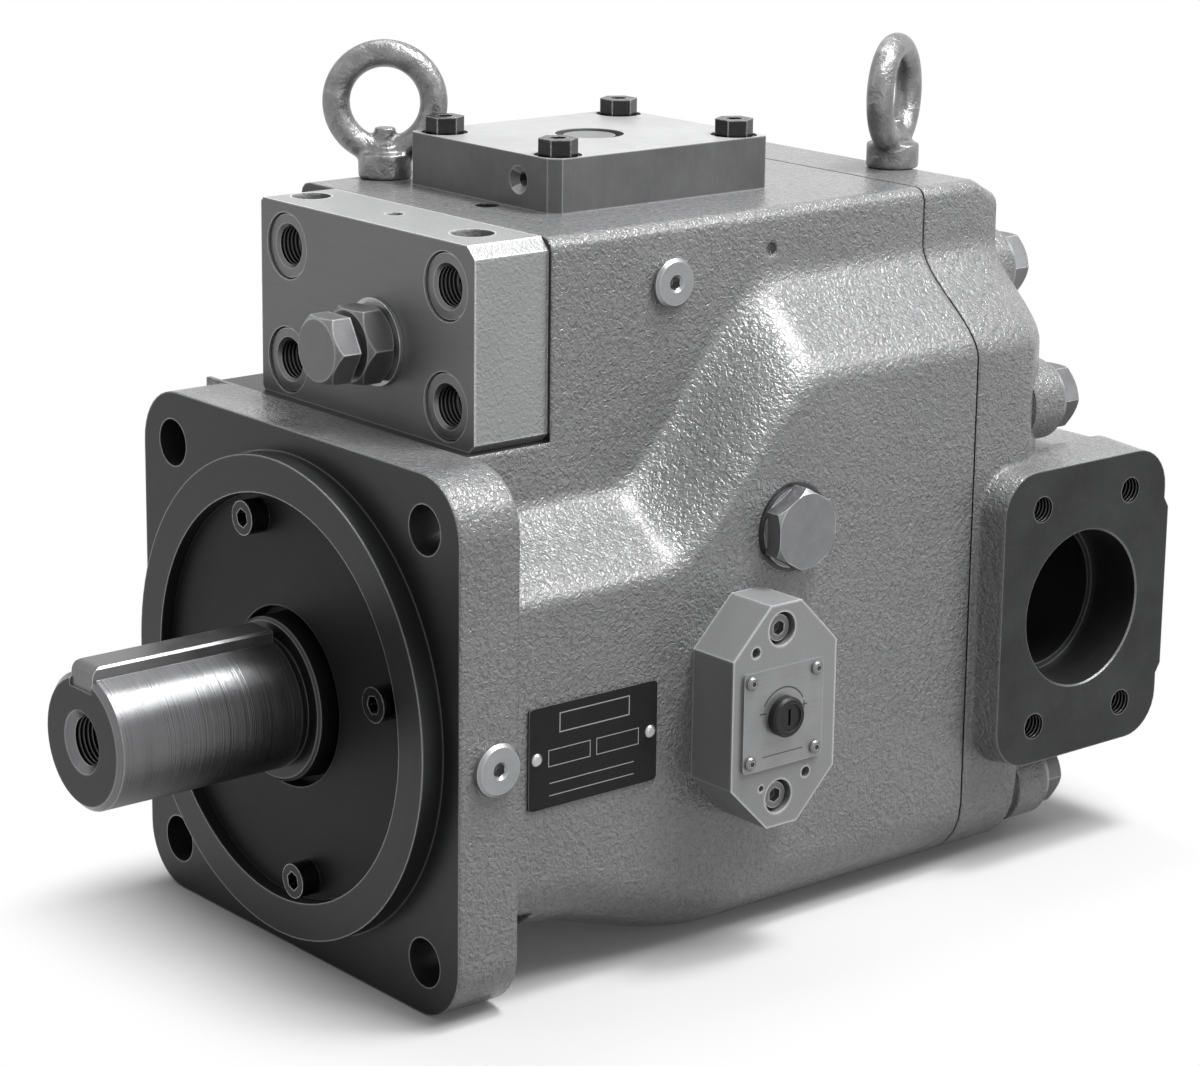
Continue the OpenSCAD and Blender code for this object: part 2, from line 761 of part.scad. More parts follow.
module adjust_screw() color([0.68, 0.68, 0.7]) {
  translate([screw_x, 0, screw_z]) union() {
    intersection() {
      yhex(24, 8, 18);
      ycone(11.4, 24, 8, 20.6);
    }
    yc(screw_r, 17, 60);
  }
}

module lock_nut() color([0.62, 0.62, 0.64]) {
  translate([screw_x, 0, screw_z]) difference() {
    intersection() {
      yhex(27, 21, 33);
      ycone(13.2, 25.2, 21, 33);
      ycone(25.2, 13.2, 21, 33);
    }
    yc(screw_r + film, 20, 34);
  }
}

module adjust_washer() color([0.7, 0.7, 0.72]) {
  translate([screw_x, 0, screw_z]) difference() {
    yc(16.3, 33, block_y0);
    yc(screw_r + film, 32, block_y0 + cut);
  }
}

module spring_seat() color([0.6, 0.6, 0.62]) {
  translate([screw_x, 0, screw_z]) union() {
    yc(9.6, 60, 62.5);
    yc(4, 62, 66);
  }
}

module compensator_spring() color([0.35, 0.35, 0.36]) {
  translate([screw_x, 0, screw_z]) coil(6.6, 1.2, 62.5, 80, 5);
}

module compensator_spool() color([0.72, 0.72, 0.74]) {
  translate([screw_x, 0, screw_z]) difference() {
    union() {
      yc(9, 80, 83);
      yc(5, 82, 110);
      yc(4, 76, 81);
    }
    for (y = [90, 100]) difference() {
      yc(6, y, y + 5);
      yc(3.5, y - cut, y + 6);
    }
  }
}

module block_side_plug() color([0.3, 0.3, 0.31]) {
  translate([0, 44, 136]) difference() {
    union() {
      xcone(6, 8, -block_left - 3, -block_left);
      xc(4, -block_left - 1, -block_left + 11);
    }
    xc(3, -block_left - 4, -block_left + 9);
  }
}

module block_side_pin() color([0.6, 0.6, 0.62]) {
  translate([0, 44, 136]) xc(3, -block_left - 9, -block_left + 8);
}

module top_plate() color([0.5, 0.51, 0.52]) {
  c = 4;
  x0 = plate_x - plate_wx / 2;
  x1 = plate_x + plate_wx / 2;
  y0 = plate_y - plate_wy / 2;
  y1 = plate_y + plate_wy / 2;
  difference() {
    translate([0, 0, top_z]) linear_extrude(height = plate_t)
      polygon([[x0, y0 + 1.5], [x0 + 1.5, y0], [x1 - c, y0], [x1, y0 + c], [x1, y1 - 1.5], [x1 - 1.5, y1],
        [x0 + 1.5, y1], [x0, y1 - 1.5]]);
    plate_bolts() zc(4.4, top_z - cut, plate_top + cut);
    plate_bolts() zc(9, plate_top - 1.2, plate_top + cut);
    translate([plate_x, plate_y, 0]) zc(13.3, plate_top - 2.5, plate_top + cut);
    translate([plate_x, plate_y, 0]) zc(10, plate_top - 12, plate_top + cut);
    translate([6, 0, top_z + 10.5]) yc(2.6, y0 - cut, y0 + 16);
    translate([6, 0, top_z + 10.5]) ycone(5.6, 2.4, y0 - 0.3, y0 + 2.9);
  }
}

// The plate's four screws and the plug in its middle.
module top_plate_bolts() color([0.08, 0.08, 0.09]) {
  plate_bolts() difference() {
    union() {
      zhex(13, plate_top - 1.2, plate_top + 6.3);
      zc(4, top_z - 17, plate_top - 1);
    }
    zhex(6, plate_top + 2.5, plate_top + 7);
  }
  translate([plate_x, plate_y, 0]) zc(10, plate_top - 12, plate_top - 0.6);
}

module eyebolt(turn) {
  difference() {
    union() {
      zc(10.5, top_z, top_z + 10);
      zc(6, top_z - 20, top_z + cut);
      zc(7, top_z + 9, top_z + 13);
      translate([0, 0, top_z + 29.4]) rotate([0, 0, turn]) rotate([90, 0, 0])
        rotate_extrude() translate([19, 0]) circle(r = 5.4);
      zc(4.2, top_z + 12, top_z + 19.5);
    }
    zc(3, top_z - 21, top_z - 19);
  }
}

module eyebolt_front() color([0.55, 0.55, 0.56]) {
  translate([eye_front[0], eye_front[1], 0]) eyebolt(50);
}

module eyebolt_rear() color([0.55, 0.55, 0.56]) {
  translate([eye_rear[0], eye_rear[1], 0]) eyebolt(118);
}

module side_plug(x, r, rs) {
  difference() {
    union() {
      xcone(r, r - 1.2, x + 1.9, x + 3);
      xc(r, x, x + 1.9);
      xc(rs, x - 11, x + cut);
    }
    xhex(4.4, x - 2, x + 4);
    xcone(2.2, 3.5, x + 1.9, x + 3.1);
  }
}

module side_plugs() color([0.5, 0.5, 0.52]) {
  translate([0, tower_plug[0], tower_plug[1]]) side_plug(tower_right, 9.3, 6);
  translate([0, flange_plug[0], flange_plug[1]]) side_plug(flange_half, flange_plug_r, 5.5);
}

module drain_plug() color([0.45, 0.45, 0.46]) {
  translate([0, drain_y, drain_z]) union() {
    xc(15.2, barrel_half - 0.6, barrel_half + 1.2);
    intersection() {
      xhex(28, barrel_half + 1, barrel_half + 8.5);
      xcone(24, 13.4, barrel_half + 1, barrel_half + 9.1);
    }
    xc(13, barrel_half - 16, barrel_half);
  }
}

module adjuster_block() color([0.44, 0.45, 0.46]) {
  hy = 25.5;
  hz = 42.5;
  c = 18;
  difference() {
    xprism(barrel_half, oct_x1)
      polygon([[oct_y - hy, oct_z - hz + c], [oct_y - hy + c, oct_z - hz], [oct_y + hy - c, oct_z - hz],
        [oct_y + hy, oct_z - hz + c], [oct_y + hy, oct_z + hz - c], [oct_y + hy - c, oct_z + hz],
        [oct_y - hy + c, oct_z + hz], [oct_y - hy, oct_z + hz - c]]);
    translate([0, oct_y - 2, 0]) for (s = [-1, 1]) translate([0, 0, oct_z + 1 + s * 32]) {
      xc(6.4, oct_x1 - 8, oct_x1 + cut);
      xc(3.3, barrel_half - cut, oct_x1 - 7);
    }
    translate([0, 121, 21.5]) xc(2, oct_x1 - 6, oct_x1 + cut);
    translate([0, 147, -29]) xc(2, oct_x1 - 6, oct_x1 + cut);
    translate([0, 125, -31]) xc(1.2, oct_x1 - 4, oct_x1 + cut);
    translate([0, knob_y, knob_z]) xc(3 + film, oct_x1 - 18, oct_x1 + cut);
    for (sy = [-1, 1]) for (sz = [-1, 1]) translate([0, knob_y + sy * 16, knob_z + sz * 15.2])
      xc(1.5, oct_x1 - 8, oct_x1 + cut);
  }
}

// The two socket screws of the adjuster block and the four small screws of its plate.
module adjuster_fixings() color([0.25, 0.25, 0.26]) {
  translate([0, oct_y - 2, 0]) for (s = [-1, 1]) translate([0, 0, oct_z + 1 + s * 32]) difference() {
    union() {
      xc(5, oct_x1 - 8, oct_x1 - 2);
      xc(3, barrel_half - 12, oct_x1 - 7);
    }
    xhex(5, oct_x1 - 5, oct_x1 - 1);
  }
  for (sy = [-1, 1]) for (sz = [-1, 1]) translate([0, knob_y + sy * 16, knob_z + sz * 15.2]) difference() {
    union() {
      xcone(2.6, 2, oct_x1 + 2, oct_x1 + 2.6);
      xc(2.6, oct_x1 + 1.2, oct_x1 + 2);
      xc(1.5, oct_x1 - 7, oct_x1 + 2);
    }
    xhex(2, oct_x1 + 1.7, oct_x1 + 3);
  }
}

module adjuster_plate() color([0.75, 0.75, 0.76]) {
  difference() {
    xprism(oct_x1, oct_x1 + 1.2) polygon(port_pad(knob_y, knob_z, 19.5, 19, 2, 0));
    translate([0, knob_y, knob_z]) xc(3 + film, oct_x1 - cut, oct_x1 + 2);
    for (sy = [-1, 1]) for (sz = [-1, 1]) translate([0, knob_y + sy * 16, knob_z + sz * 15.2])
      xc(1.6, oct_x1 - cut, oct_x1 + 2);
  }
}

module trim_knob() color([0.05, 0.05, 0.05]) {
  translate([0, knob_y, knob_z]) difference() {
    union() {
      xcone(7.6, 6.8, oct_x1 + 4, oct_x1 + 5);
      xc(7.6, oct_x1 + 1.2 + film, oct_x1 + 4);
      xc(3, oct_x1 - 17, oct_x1 + 2);
    }
    xc(5.4, oct_x1 + 4.4, oct_x1 + 6);
    box([oct_x1 + 3.4, -0.7, -3.2], [oct_x1 + 6, 0.7, 3.2]);
  }
}

// The blank name plate with its two rivets.
module nameplate() color([0.07, 0.07, 0.08]) {
  difference() {
    xprism(barrel_half, barrel_half + 0.8)
      polygon(port_pad((tag_y0 + tag_y1) / 2, (tag_z0 + tag_z1) / 2, (tag_y1 - tag_y0) / 2,
        (tag_z1 - tag_z0) / 2, 2, 0));
    for (y = [tag_y0 + 3.5, tag_y1 - 3.5]) translate([0, y, (tag_z0 + tag_z1) / 2])
      xc(1.25, barrel_half - cut, barrel_half + 2);
  }
  for (y = [tag_y0 + 3.5, tag_y1 - 3.5]) translate([0, y, (tag_z0 + tag_z1) / 2]) {
    xcone(2.3, 1.5, barrel_half + 1.2, barrel_half + 1.8);
    xc(2.3, barrel_half + 0.8, barrel_half + 1.2);
    xc(1.2, barrel_half - 6, barrel_half + 1);
  }
}

body_casting();
cover_gasket();
rear_cover();
cover_bolts();
cover_washers();
dowel_pins();
seal_cover();
seal_cover_screws();
shaft_seal();
cover_o_ring();
front_outer_race();
front_rollers();
front_cage();
front_inner_race();
rear_outer_race();
rear_rollers();
rear_cage();
rear_inner_race();
shaft();
shaft_key();
shaft_circlip();
cylinder_block();
pistons();
slippers();
retainer_plate();
ball_guide();
push_pins();
spring_rings();
block_spring();
block_circlip();
swash_plate();
cradle_block();
cradle_bearings();
valve_plate();
valve_plate_pin();
control_piston();
control_sleeve();
bias_piston();
bias_spring();
valve_block();
valve_block_screws();
adjust_screw();
lock_nut();
adjust_washer();
spring_seat();
compensator_spring();
compensator_spool();
block_side_plug();
block_side_pin();
top_plate();
top_plate_bolts();
eyebolt_front();
eyebolt_rear();
side_plugs();
drain_plug();
adjuster_block();
adjuster_fixings();
adjuster_plate();
trim_knob();
nameplate();
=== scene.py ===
"""Variable axial piston pump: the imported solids, dressed for the photograph.

All places are in metres. The flange's face is at y 0 and the shaft points along -Y.
"""

import json
import math

import bpy
from mathutils import Matrix, Vector


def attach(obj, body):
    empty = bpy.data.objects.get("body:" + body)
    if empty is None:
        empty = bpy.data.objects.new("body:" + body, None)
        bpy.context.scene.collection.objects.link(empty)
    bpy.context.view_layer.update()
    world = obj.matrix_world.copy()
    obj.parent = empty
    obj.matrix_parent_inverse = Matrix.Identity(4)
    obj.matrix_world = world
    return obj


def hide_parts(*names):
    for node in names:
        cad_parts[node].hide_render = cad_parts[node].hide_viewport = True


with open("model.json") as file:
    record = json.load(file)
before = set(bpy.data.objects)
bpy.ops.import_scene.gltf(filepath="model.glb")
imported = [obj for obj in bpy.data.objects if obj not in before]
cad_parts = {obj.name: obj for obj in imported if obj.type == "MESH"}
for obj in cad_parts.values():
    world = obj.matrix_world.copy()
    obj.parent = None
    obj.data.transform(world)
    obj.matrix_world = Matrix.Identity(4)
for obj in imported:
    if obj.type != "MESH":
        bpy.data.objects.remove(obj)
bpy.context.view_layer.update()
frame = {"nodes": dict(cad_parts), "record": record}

MM = 0.001
SIGNS = [(a, b) for a in (-1, 1) for b in (-1, 1)]

# places on the part
GROUND = -0.099
MIDDLE_Y = 0.13
FLANGE_HOLES = [(a * 0.0792, b * 0.0792) for a, b in SIGNS]
FLANGE_HOLE_R, FLANGE_DEPTH = 0.0094, 0.0265
COVER_SEAT_R, COVER_SEAT_DEPTH = 0.0765, 0.05
INSIDE_R, INSIDE_FROM = 0.0805, 0.03
CASE_END = 0.253
BLOCK_BACK, BLOCK_FOOT = 0.068, 0.097
DRAIN_Y, DRAIN_Z, DRAIN_SPOT_R = 0.158, 0.058, 0.0176
DRAIN_SPOT_X = (0.0935, 0.0946)
TOP_HOLE_X, TOP_HOLE_Y, TOP_HOLE_R = -0.005, 0.092, 0.005
TOP_HOLE_Z = (0.1, 0.1705)
PORT_Y, PORT_Z = 0.306, 0.003
PORT_WALL_R, PORT_STEP_R = 0.0335, 0.0316
PORT_DEPTH = (0.0, 0.106)
COVER_FRONT, COVER_BACK = 0.2538, 0.304
INLET_PAD, DELIVERY_PAD = 0.1065, -0.1035
INLET_TAPS = [(PORT_Y + a * 0.0254, PORT_Z + b * 0.04445) for a, b in SIGNS]
INLET_TAP_R, INLET_TAP_FROM = 0.0054, 0.08
DELIVERY_TAPS = [(PORT_Y + a * 0.0159, PORT_Z + b * 0.0333) for a, b in SIGNS]
DELIVERY_TAP_R, DELIVERY_TAP_FROM = 0.0063, -0.077
ADJUST_X, ADJUST_Z = 0.004, 0.128
ADJUST_THREAD_R, ADJUST_THREAD_FROM = 0.0094, 0.018
SHAFT_TAP_R, SHAFT_TAP_TO = 0.0089, -0.047
SHAFT_COLLAR_Y = (-0.016, 0.021)
BLOCK_SCREWS = [(x, z) for x in (-0.05325, 0.04475) for z in (0.1112, 0.1546)]
BLOCK_SOCKET_R, BLOCK_SOCKET_TO = 0.0075, 0.046
PLATED_BOLT_X, PLATED_BOLT_Y, PLATED_BOLT_R = -0.017, 0.151, 0.0105
TAG_Y, TAG_Z = 33.2 * MM, -26.2 * MM
TAG_RIVETS = [(0.0367, -0.0071), (0.0891, -0.0071)]
TAG_RIVET_R = 0.0025
TRIM_Y, TRIM_Z = 134 * MM, -4.3 * MM

# how edges are dressed
MERGE_GAP = 2e-6
BEVEL_ANGLE = math.radians(30)
PIECE_SHARP = 42
CASTING_SHARP = 34
ON_FACE = 0.0003

# what the frame says of each node
BODY_OF = {node: body for body, nodes in frame["record"]["behaviour"]["bodies"].items() for node in nodes}


# handling the pieces
def leave_all():
    """Puts every piece down, so that an operator acts only on what is taken next."""
    for other in list(bpy.context.selected_objects):
        other.select_set(False)


def take(piece):
    """Makes the piece the only one that an operator acts on."""
    leave_all()
    piece.select_set(True)
    bpy.context.view_layer.objects.active = piece


def apply_modifier(piece, kind, **settings):
    """Adds a modifier and applies it at once."""
    take(piece)
    step = piece.modifiers.new(kind.title(), kind)
    for key, value in settings.items():
        setattr(step, key, value)
    bpy.ops.object.modifier_apply(modifier=step.name)


def traced(node, name=None):
    """A merged copy of a solid's skin, smooth all over and with no finish yet."""
    source = frame["nodes"][node]
    piece = bpy.data.objects.new(name or node + "_dressed", source.data.copy())
    bpy.context.scene.collection.objects.link(piece)
    piece.data.name = piece.name
    piece.data.materials.clear()
    take(piece)
    bpy.ops.object.mode_set(mode="EDIT")
    bpy.ops.mesh.select_all(action="SELECT")
    bpy.ops.mesh.remove_doubles(threshold=MERGE_GAP)
    bpy.ops.mesh.customdata_custom_splitnormals_clear()
    bpy.ops.mesh.faces_shade_smooth()
    bpy.ops.mesh.mark_sharp(clear=True)
    bpy.ops.mesh.select_all(action="DESELECT")
    bpy.ops.object.mode_set(mode="OBJECT")
    return piece


def shade(piece, sharp=PIECE_SHARP):
    """Smooths what turns by less than that many degrees, and lets the large faces stay flat."""
    take(piece)
    bpy.ops.object.shade_smooth_by_angle(angle=math.radians(sharp))
    apply_modifier(piece, "WEIGHTED_NORMAL", mode="FACE_AREA", weight=60, keep_sharp=True)


def round_edges(piece, width):
    """Rounds the sharp edges by that many millimetres."""
    apply_modifier(
        piece, "BEVEL", width=width * MM, segments=2, limit_method="ANGLE",
        angle_limit=BEVEL_ANGLE, use_clamp_overlap=True, miter_outer="MITER_SHARP",
    )
    shade(piece)


def coat(piece, *finishes):
    """Gives a piece its finishes, the first one all over."""
    piece.data.materials.clear()
    for finish in finishes:
        piece.data.materials.append(finish)


def tint_faces(piece, index, wanted):
    """Gives one of the piece's finishes to the faces for which wanted(centre, normal) holds."""
    for face in piece.data.polygons:
        if wanted(face.center, face.normal):
            face.material_index = index


def hand_over(piece, node):
    """The piece rides with its node's body, and the node is hidden."""
    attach(piece, BODY_OF[node])
    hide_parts(node)


# shader arithmetic
class Wire:
    """A value or colour that runs between two shader nodes, with arithmetic on values."""

    def __init__(self, bench, socket):
        self.bench = bench
        self.socket = socket

    def math(self, operation, *others, clamp=False):
        settings = {"operation": operation, "use_clamp": clamp}
        return self.bench.node("ShaderNodeMath", settings, [self, *others])

    def __add__(self, other):
        return self.math("ADD", other)

    def __radd__(self, other):
        return self.math("ADD", other)

    def __sub__(self, other):
        return self.math("SUBTRACT", other)

    def __rsub__(self, other):
        return self.bench.node("ShaderNodeMath", {"operation": "SUBTRACT"}, [other, self])

    def __mul__(self, other):
        return self.math("MULTIPLY", other)

    def __pow__(self, other):
        return self.math("POWER", other)

    def __gt__(self, other):
        return self.math("GREATER_THAN", other)

    def __lt__(self, other):
        return self.math("LESS_THAN", other)

    def size(self):
        """The value without its sign."""
        return self.math("ABSOLUTE")

    def most(self, other):
        """The larger of two values."""
        return self.math("MAXIMUM", other)

    def kept(self):
        """The value, held between 0 and 1."""
        return self.math("ADD", 0.0, clamp=True)


class Finish:
    """One finish on the bench: a material whose nodes are added one by one."""

    def __init__(self, name, specular=0.5, coat_rough=0.1):
        self.material = bpy.data.materials.new(name)
        self.material.use_nodes = True
        self.tree = self.material.node_tree
        self.tree.nodes.clear()
        self.out = self.tree.nodes.new("ShaderNodeOutputMaterial")
        self.shader = self.tree.nodes.new("ShaderNodeBsdfPrincipled")
        self.tree.links.new(self.shader.outputs[0], self.out.inputs["Surface"])
        self.shader.inputs["Specular IOR Level"].default_value = specular
        self.shader.inputs["Coat Roughness"].default_value = coat_rough
        self.spot = None

    def node(self, kind, settings, sockets=(), out=0):
        """Adds a node, sets what it is, feeds its sockets and returns one of its outputs."""
        made = self.tree.nodes.new(kind)
        for key, value in settings.items():
            setattr(made, key, value)
        pairs = sockets.items() if isinstance(sockets, dict) else enumerate(sockets)
        for key, value in pairs:
            self.feed(made.inputs[key], value)
        return Wire(self, made.outputs[out])

    def feed(self, socket, value):
        """Links a wire to a socket, or sets the socket to a constant."""
        if isinstance(value, Wire):
            self.tree.links.new(value.socket, socket)
        else:
            if socket.type == "RGBA" and len(value) == 3:
                value = (*value, 1)
            socket.default_value = value

    def place(self):
        """Where the point is on the object, in metres."""
        if self.spot is None:
            self.spot = self.node("ShaderNodeTexCoord", {}, out="Object")
        return self.spot

    def axes(self):
        """The point's x, y and z."""
        parts = self.tree.nodes.new("ShaderNodeSeparateXYZ")
        self.tree.links.new(self.place().socket, parts.inputs[0])
        return [Wire(self, parts.outputs[i]) for i in range(3)]

    def stretched(self, scale):
        """The point with its axes scaled: a small scale draws a pattern out along its axis."""
        return self.node("ShaderNodeMapping", {}, {"Vector": self.place(), "Scale": scale})

    def noise(self, grain, detail=2.0, rough=0.5, at=None, warp=0.0):
        """Soft noise whose grain is given in millimetres."""
        return self.node(
            "ShaderNodeTexNoise", {},
            {"Vector": at or self.place(), "Scale": 1000.0 / grain, "Detail": detail, "Roughness": rough,
             "Distortion": warp},
        )

    def cells(self, grain):
        """The distance to scattered points that lie about that many millimetres apart."""
        return self.node("ShaderNodeTexVoronoi", {}, {"Vector": self.place(), "Scale": 1000.0 / grain})

    def blend(self, amount, one, two):
        """The first colour where the amount is 0, the second where it is 1."""
        made = self.tree.nodes.new("ShaderNodeMix")
        made.data_type = "RGBA"
        self.feed(made.inputs["Factor"], amount)
        self.feed(made.inputs[6], one)
        self.feed(made.inputs[7], two)
        return Wire(self, made.outputs[2])

    def bump(self, height, depth, under=None, strength=1.0):
        """A relief whose depth is given in millimetres."""
        sockets = {"Height": height, "Distance": depth * MM, "Strength": strength}
        if under is not None:
            sockets["Normal"] = under
        return self.node("ShaderNodeBump", {}, sockets)

    def edge_wear_and_highlight(self, reach):
        """1 on a sharp edge and 0 on flat faces, within that many millimetres: the mask by which the finishes
        lighten their edges, as wear and as a painted edge highlight.
        """
        rounded = self.node("ShaderNodeBevel", {"samples": 4}, {"Radius": reach * MM})
        own = self.node("ShaderNodeNewGeometry", {}, out="Normal")
        close = self.node("ShaderNodeVectorMath", {"operation": "DOT_PRODUCT"}, [rounded, own], out="Value")
        return ((1.0 - close) * 6.0).kept()

    def done(self, color, rough, metallic=0.0, normal=None, coat=0.0):
        """Feeds the shader and returns the material."""
        inputs = {"Base Color": color, "Roughness": rough, "Metallic": metallic, "Coat Weight": coat}
        for name, value in inputs.items():
            self.feed(self.shader.inputs[name], value)
        if normal is not None:
            self.feed(self.shader.inputs["Normal"], normal)
        return self.material


# finishes
def cast_paint():
    """Grey paint on a rough casting: orange peel under a glossy skin, with soft cast corners."""
    f = Finish("cast_paint", specular=0.75, coat_rough=0.27)
    drift = f.noise(9.0, detail=1.0)
    peel = f.noise(1.9, detail=1.7, rough=0.42, warp=1.0)
    pits = f.noise(1.0, detail=1.0)
    swell = f.noise(26.0, detail=2.0)
    cloud = f.noise(60.0, detail=3.0)
    tone = f.blend((cloud - 0.3) * 1.8, (0.145, 0.146, 0.149), (0.176, 0.177, 0.18))
    # These two blends follow the peel's relief: paler on its crests and much darker in its hollows, a painted
    # highlight and painted shade over the peel's bump.
    tone = f.blend(((peel - 0.52) * 5.0).kept() * 0.35, tone, (0.24, 0.241, 0.245))
    tone = f.blend(((0.47 - peel) * 5.5).kept() * 0.6, tone, (0.075, 0.076, 0.078))
    # Darker, rougher and less glossy where the broad swell relief is low.
    swell_hollow = ((0.42 - swell) * 3.0).kept()
    tone = f.blend(swell_hollow * 0.25, tone, (0.13, 0.13, 0.132))
    # The edges are lightened: rubbed paint, and a painted highlight along them.
    worn_and_highlit = f.edge_wear_and_highlight(1.4) * (f.noise(6.0) + 0.1)
    tone = f.blend(worn_and_highlit * 0.3, tone, (0.36, 0.36, 0.365))
    soft = f.node("ShaderNodeBevel", {"samples": 6}, {"Radius": 3.0 * MM})
    relief = f.bump(swell, 1.6, soft, 0.6)
    relief = f.bump(peel * 0.88 + pits * 0.12, 0.95, relief)
    return f.done(tone, 0.2 + drift * 0.08 + swell_hollow * 0.1, 0.0, relief, coat=0.35 - swell_hollow * 0.15)


def bare_iron(name, dark, light, metallic=0.75, along=(1, 1, 1), rough=0.36):
    """Machined casting: a dark face with fine tool lines and a little staining."""
    f = Finish(name, specular=0.4)
    lines = f.noise(0.9, detail=2.0, at=f.stretched(along))
    stain = f.noise(26.0, detail=5.0, rough=0.66)
    speck = f.noise(0.8, detail=1.0)
    tone = f.blend(((stain - 0.5) * 2.2 + 0.45 + (lines - 0.5) * 0.5).kept(), dark, light)
    # The edges are lightened: wear, and a painted highlight along them.
    worn_and_highlit = f.edge_wear_and_highlight(0.9) * 0.9
    tone = f.blend(worn_and_highlit, tone, [min(1.0, c * 3.4 + 0.1) for c in light])
    relief = f.bump(lines * 0.6 + speck * 0.4, 0.05)
    return f.done(tone, (rough - 0.06) + stain * 0.16, metallic, relief)


def turned_iron(name, dark, light, rough=0.32, centre=(0.0, 0.0), axis="y", metallic=0.8,
                pitch=0.45, wear_and_highlight_by=3.0, specular=0.45):
    """A face turned on a lathe: rings about its axis."""
    f = Finish(name, specular=specular)
    x, y, z = f.axes()
    a, b = (y, z) if axis == "x" else (x, z)
    away = ((a - centre[0]) ** 2.0 + (b - centre[1]) ** 2.0) ** 0.5
    ring = f.node("ShaderNodeCombineXYZ", {}, [away, x if axis == "x" else y, 0.0])
    lines = f.noise(pitch, detail=3.0, rough=0.6, at=ring)
    broad = f.noise(6.0, detail=2.0, at=ring)
    stain = f.noise(30.0, detail=4.0, rough=0.62)
    tone = f.blend((lines * 0.5 + broad * 0.35 + stain * 0.5 - 0.25).kept(), dark, light)
    # The edges are lightened by the given factor: wear, and a painted highlight along them.
    worn_and_highlit = f.edge_wear_and_highlight(1.1)
    tone = f.blend(worn_and_highlit * 0.9, tone, [min(0.9, c * wear_and_highlight_by + 0.1) for c in light])
    relief = f.bump(lines, 0.03)
    return f.done(tone, rough + (lines - 0.5) * 0.2 + (stain - 0.5) * 0.14, metallic, relief)


def block_face():
    """Ground flat steel with straight, faint milling marks."""
    f = Finish("block_face")
    strokes = f.noise(0.55, detail=3.0, at=f.stretched((0.05, 1, 1)))
    cloud = f.noise(45.0, detail=4.0, rough=0.6)
    speck = f.noise(0.7, detail=1.0)
    amount = (cloud + (strokes - 0.5) * 0.5 - 0.1).kept()
    tone = f.blend(amount, (0.15, 0.151, 0.153), (0.215, 0.216, 0.219))
    # Lighter edges: wear, and a painted highlight along them.
    tone = f.blend(f.edge_wear_and_highlight(1.0) * 0.9, tone, (0.62, 0.62, 0.63))
    return f.done(tone, 0.4 + cloud * 0.14, 0.55, f.bump(strokes * 0.6 + speck * 0.4, 0.035))


def blasted_face(name, grain_mm, depth, dark, light):
    """Blasted faces of the control blocks: pale, matt and evenly grained, with edges lightened as rubbed wear
    and as a painted highlight.
    """
    f = Finish(name)
    grain = f.noise(grain_mm, detail=2.0, rough=0.5, warp=0.8)
    cloud = f.noise(30.0, detail=3.0)
    tone = f.blend((cloud + (grain - 0.5) * 0.5).kept(), dark, light)
    tone = f.blend(f.edge_wear_and_highlight(1.7), tone, (0.72, 0.72, 0.73))
    return f.done(tone, 0.36 + grain * 0.12, 0.25, f.bump(grain, depth))


def plate_steel():
    """The top plate's ground face, with long strokes and small marks."""
    f = Finish("plate_steel")
    strokes = f.noise(0.6, detail=3.0, at=f.stretched((1, 0.04, 1)))
    cloud = f.noise(40.0, detail=4.0, rough=0.6)
    nicks = f.cells(9.0)
    patches = f.noise(7.0, detail=4.0, rough=0.7)
    amount = ((cloud + patches) * 0.5 + (strokes - 0.5) * 0.7).kept()
    tone = f.blend(amount, (0.33, 0.331, 0.335), (0.5, 0.501, 0.506))
    tone = f.blend(((0.07 - nicks) * 30.0).kept() * (f.noise(60.0) > 0.5), tone, (0.12, 0.12, 0.122))
    # Lighter edges: wear, and a painted highlight along them.
    tone = f.blend(f.edge_wear_and_highlight(1.0) * 0.9, tone, (0.66, 0.66, 0.67))
    return f.done(tone, 0.36 + cloud * 0.16, 0.5, f.bump(strokes, 0.035))


def bright_steel(name, dark, light, rough=0.3, metallic=0.85, edge=0.6):
    """Plated or bare bright steel on small parts."""
    f = Finish(name)
    cloud = f.noise(8.0, detail=4.0, rough=0.6)
    fine = f.noise(0.8, detail=2.0)
    tone = f.blend((cloud + (fine - 0.5) * 0.4).kept(), dark, light)
    # Lighter edges: wear, and a painted highlight along them.
    tone = f.blend(f.edge_wear_and_highlight(edge) * 0.8, tone, (0.78, 0.78, 0.79))
    return f.done(tone, rough + (cloud - 0.4) * 0.2, metallic, f.bump(fine, 0.02))


def shaft_steel():
    """The drive shaft, ground round: fine rings, a soft sheen and thin handling marks."""
    f = Finish("shaft_steel")
    x, y, z = f.axes()
    along = f.node("ShaderNodeCombineXYZ", {}, [y, x * 0.004, z * 0.004])
    rings = f.noise(0.42, detail=2.0, rough=0.5, at=along)
    bands = f.noise(5.0, detail=3.0, rough=0.6, at=along)
    cloud = f.noise(16.0, detail=4.0, rough=0.6)
    amount = ((rings - 0.5) * 0.8 + (bands - 0.5) * 0.6 + (cloud - 0.5) * 0.4 + 0.5).kept()
    tone = f.blend(amount, (0.1, 0.101, 0.104), (0.2, 0.201, 0.205))
    # Lighter edges: wear, and a painted highlight along them.
    tone = f.blend(f.edge_wear_and_highlight(0.7) * 0.8, tone, (0.75, 0.75, 0.76))
    return f.done(tone, 0.24 + rings * 0.1 + (cloud - 0.5) * 0.06, 0.95, f.bump(rings, 0.085))


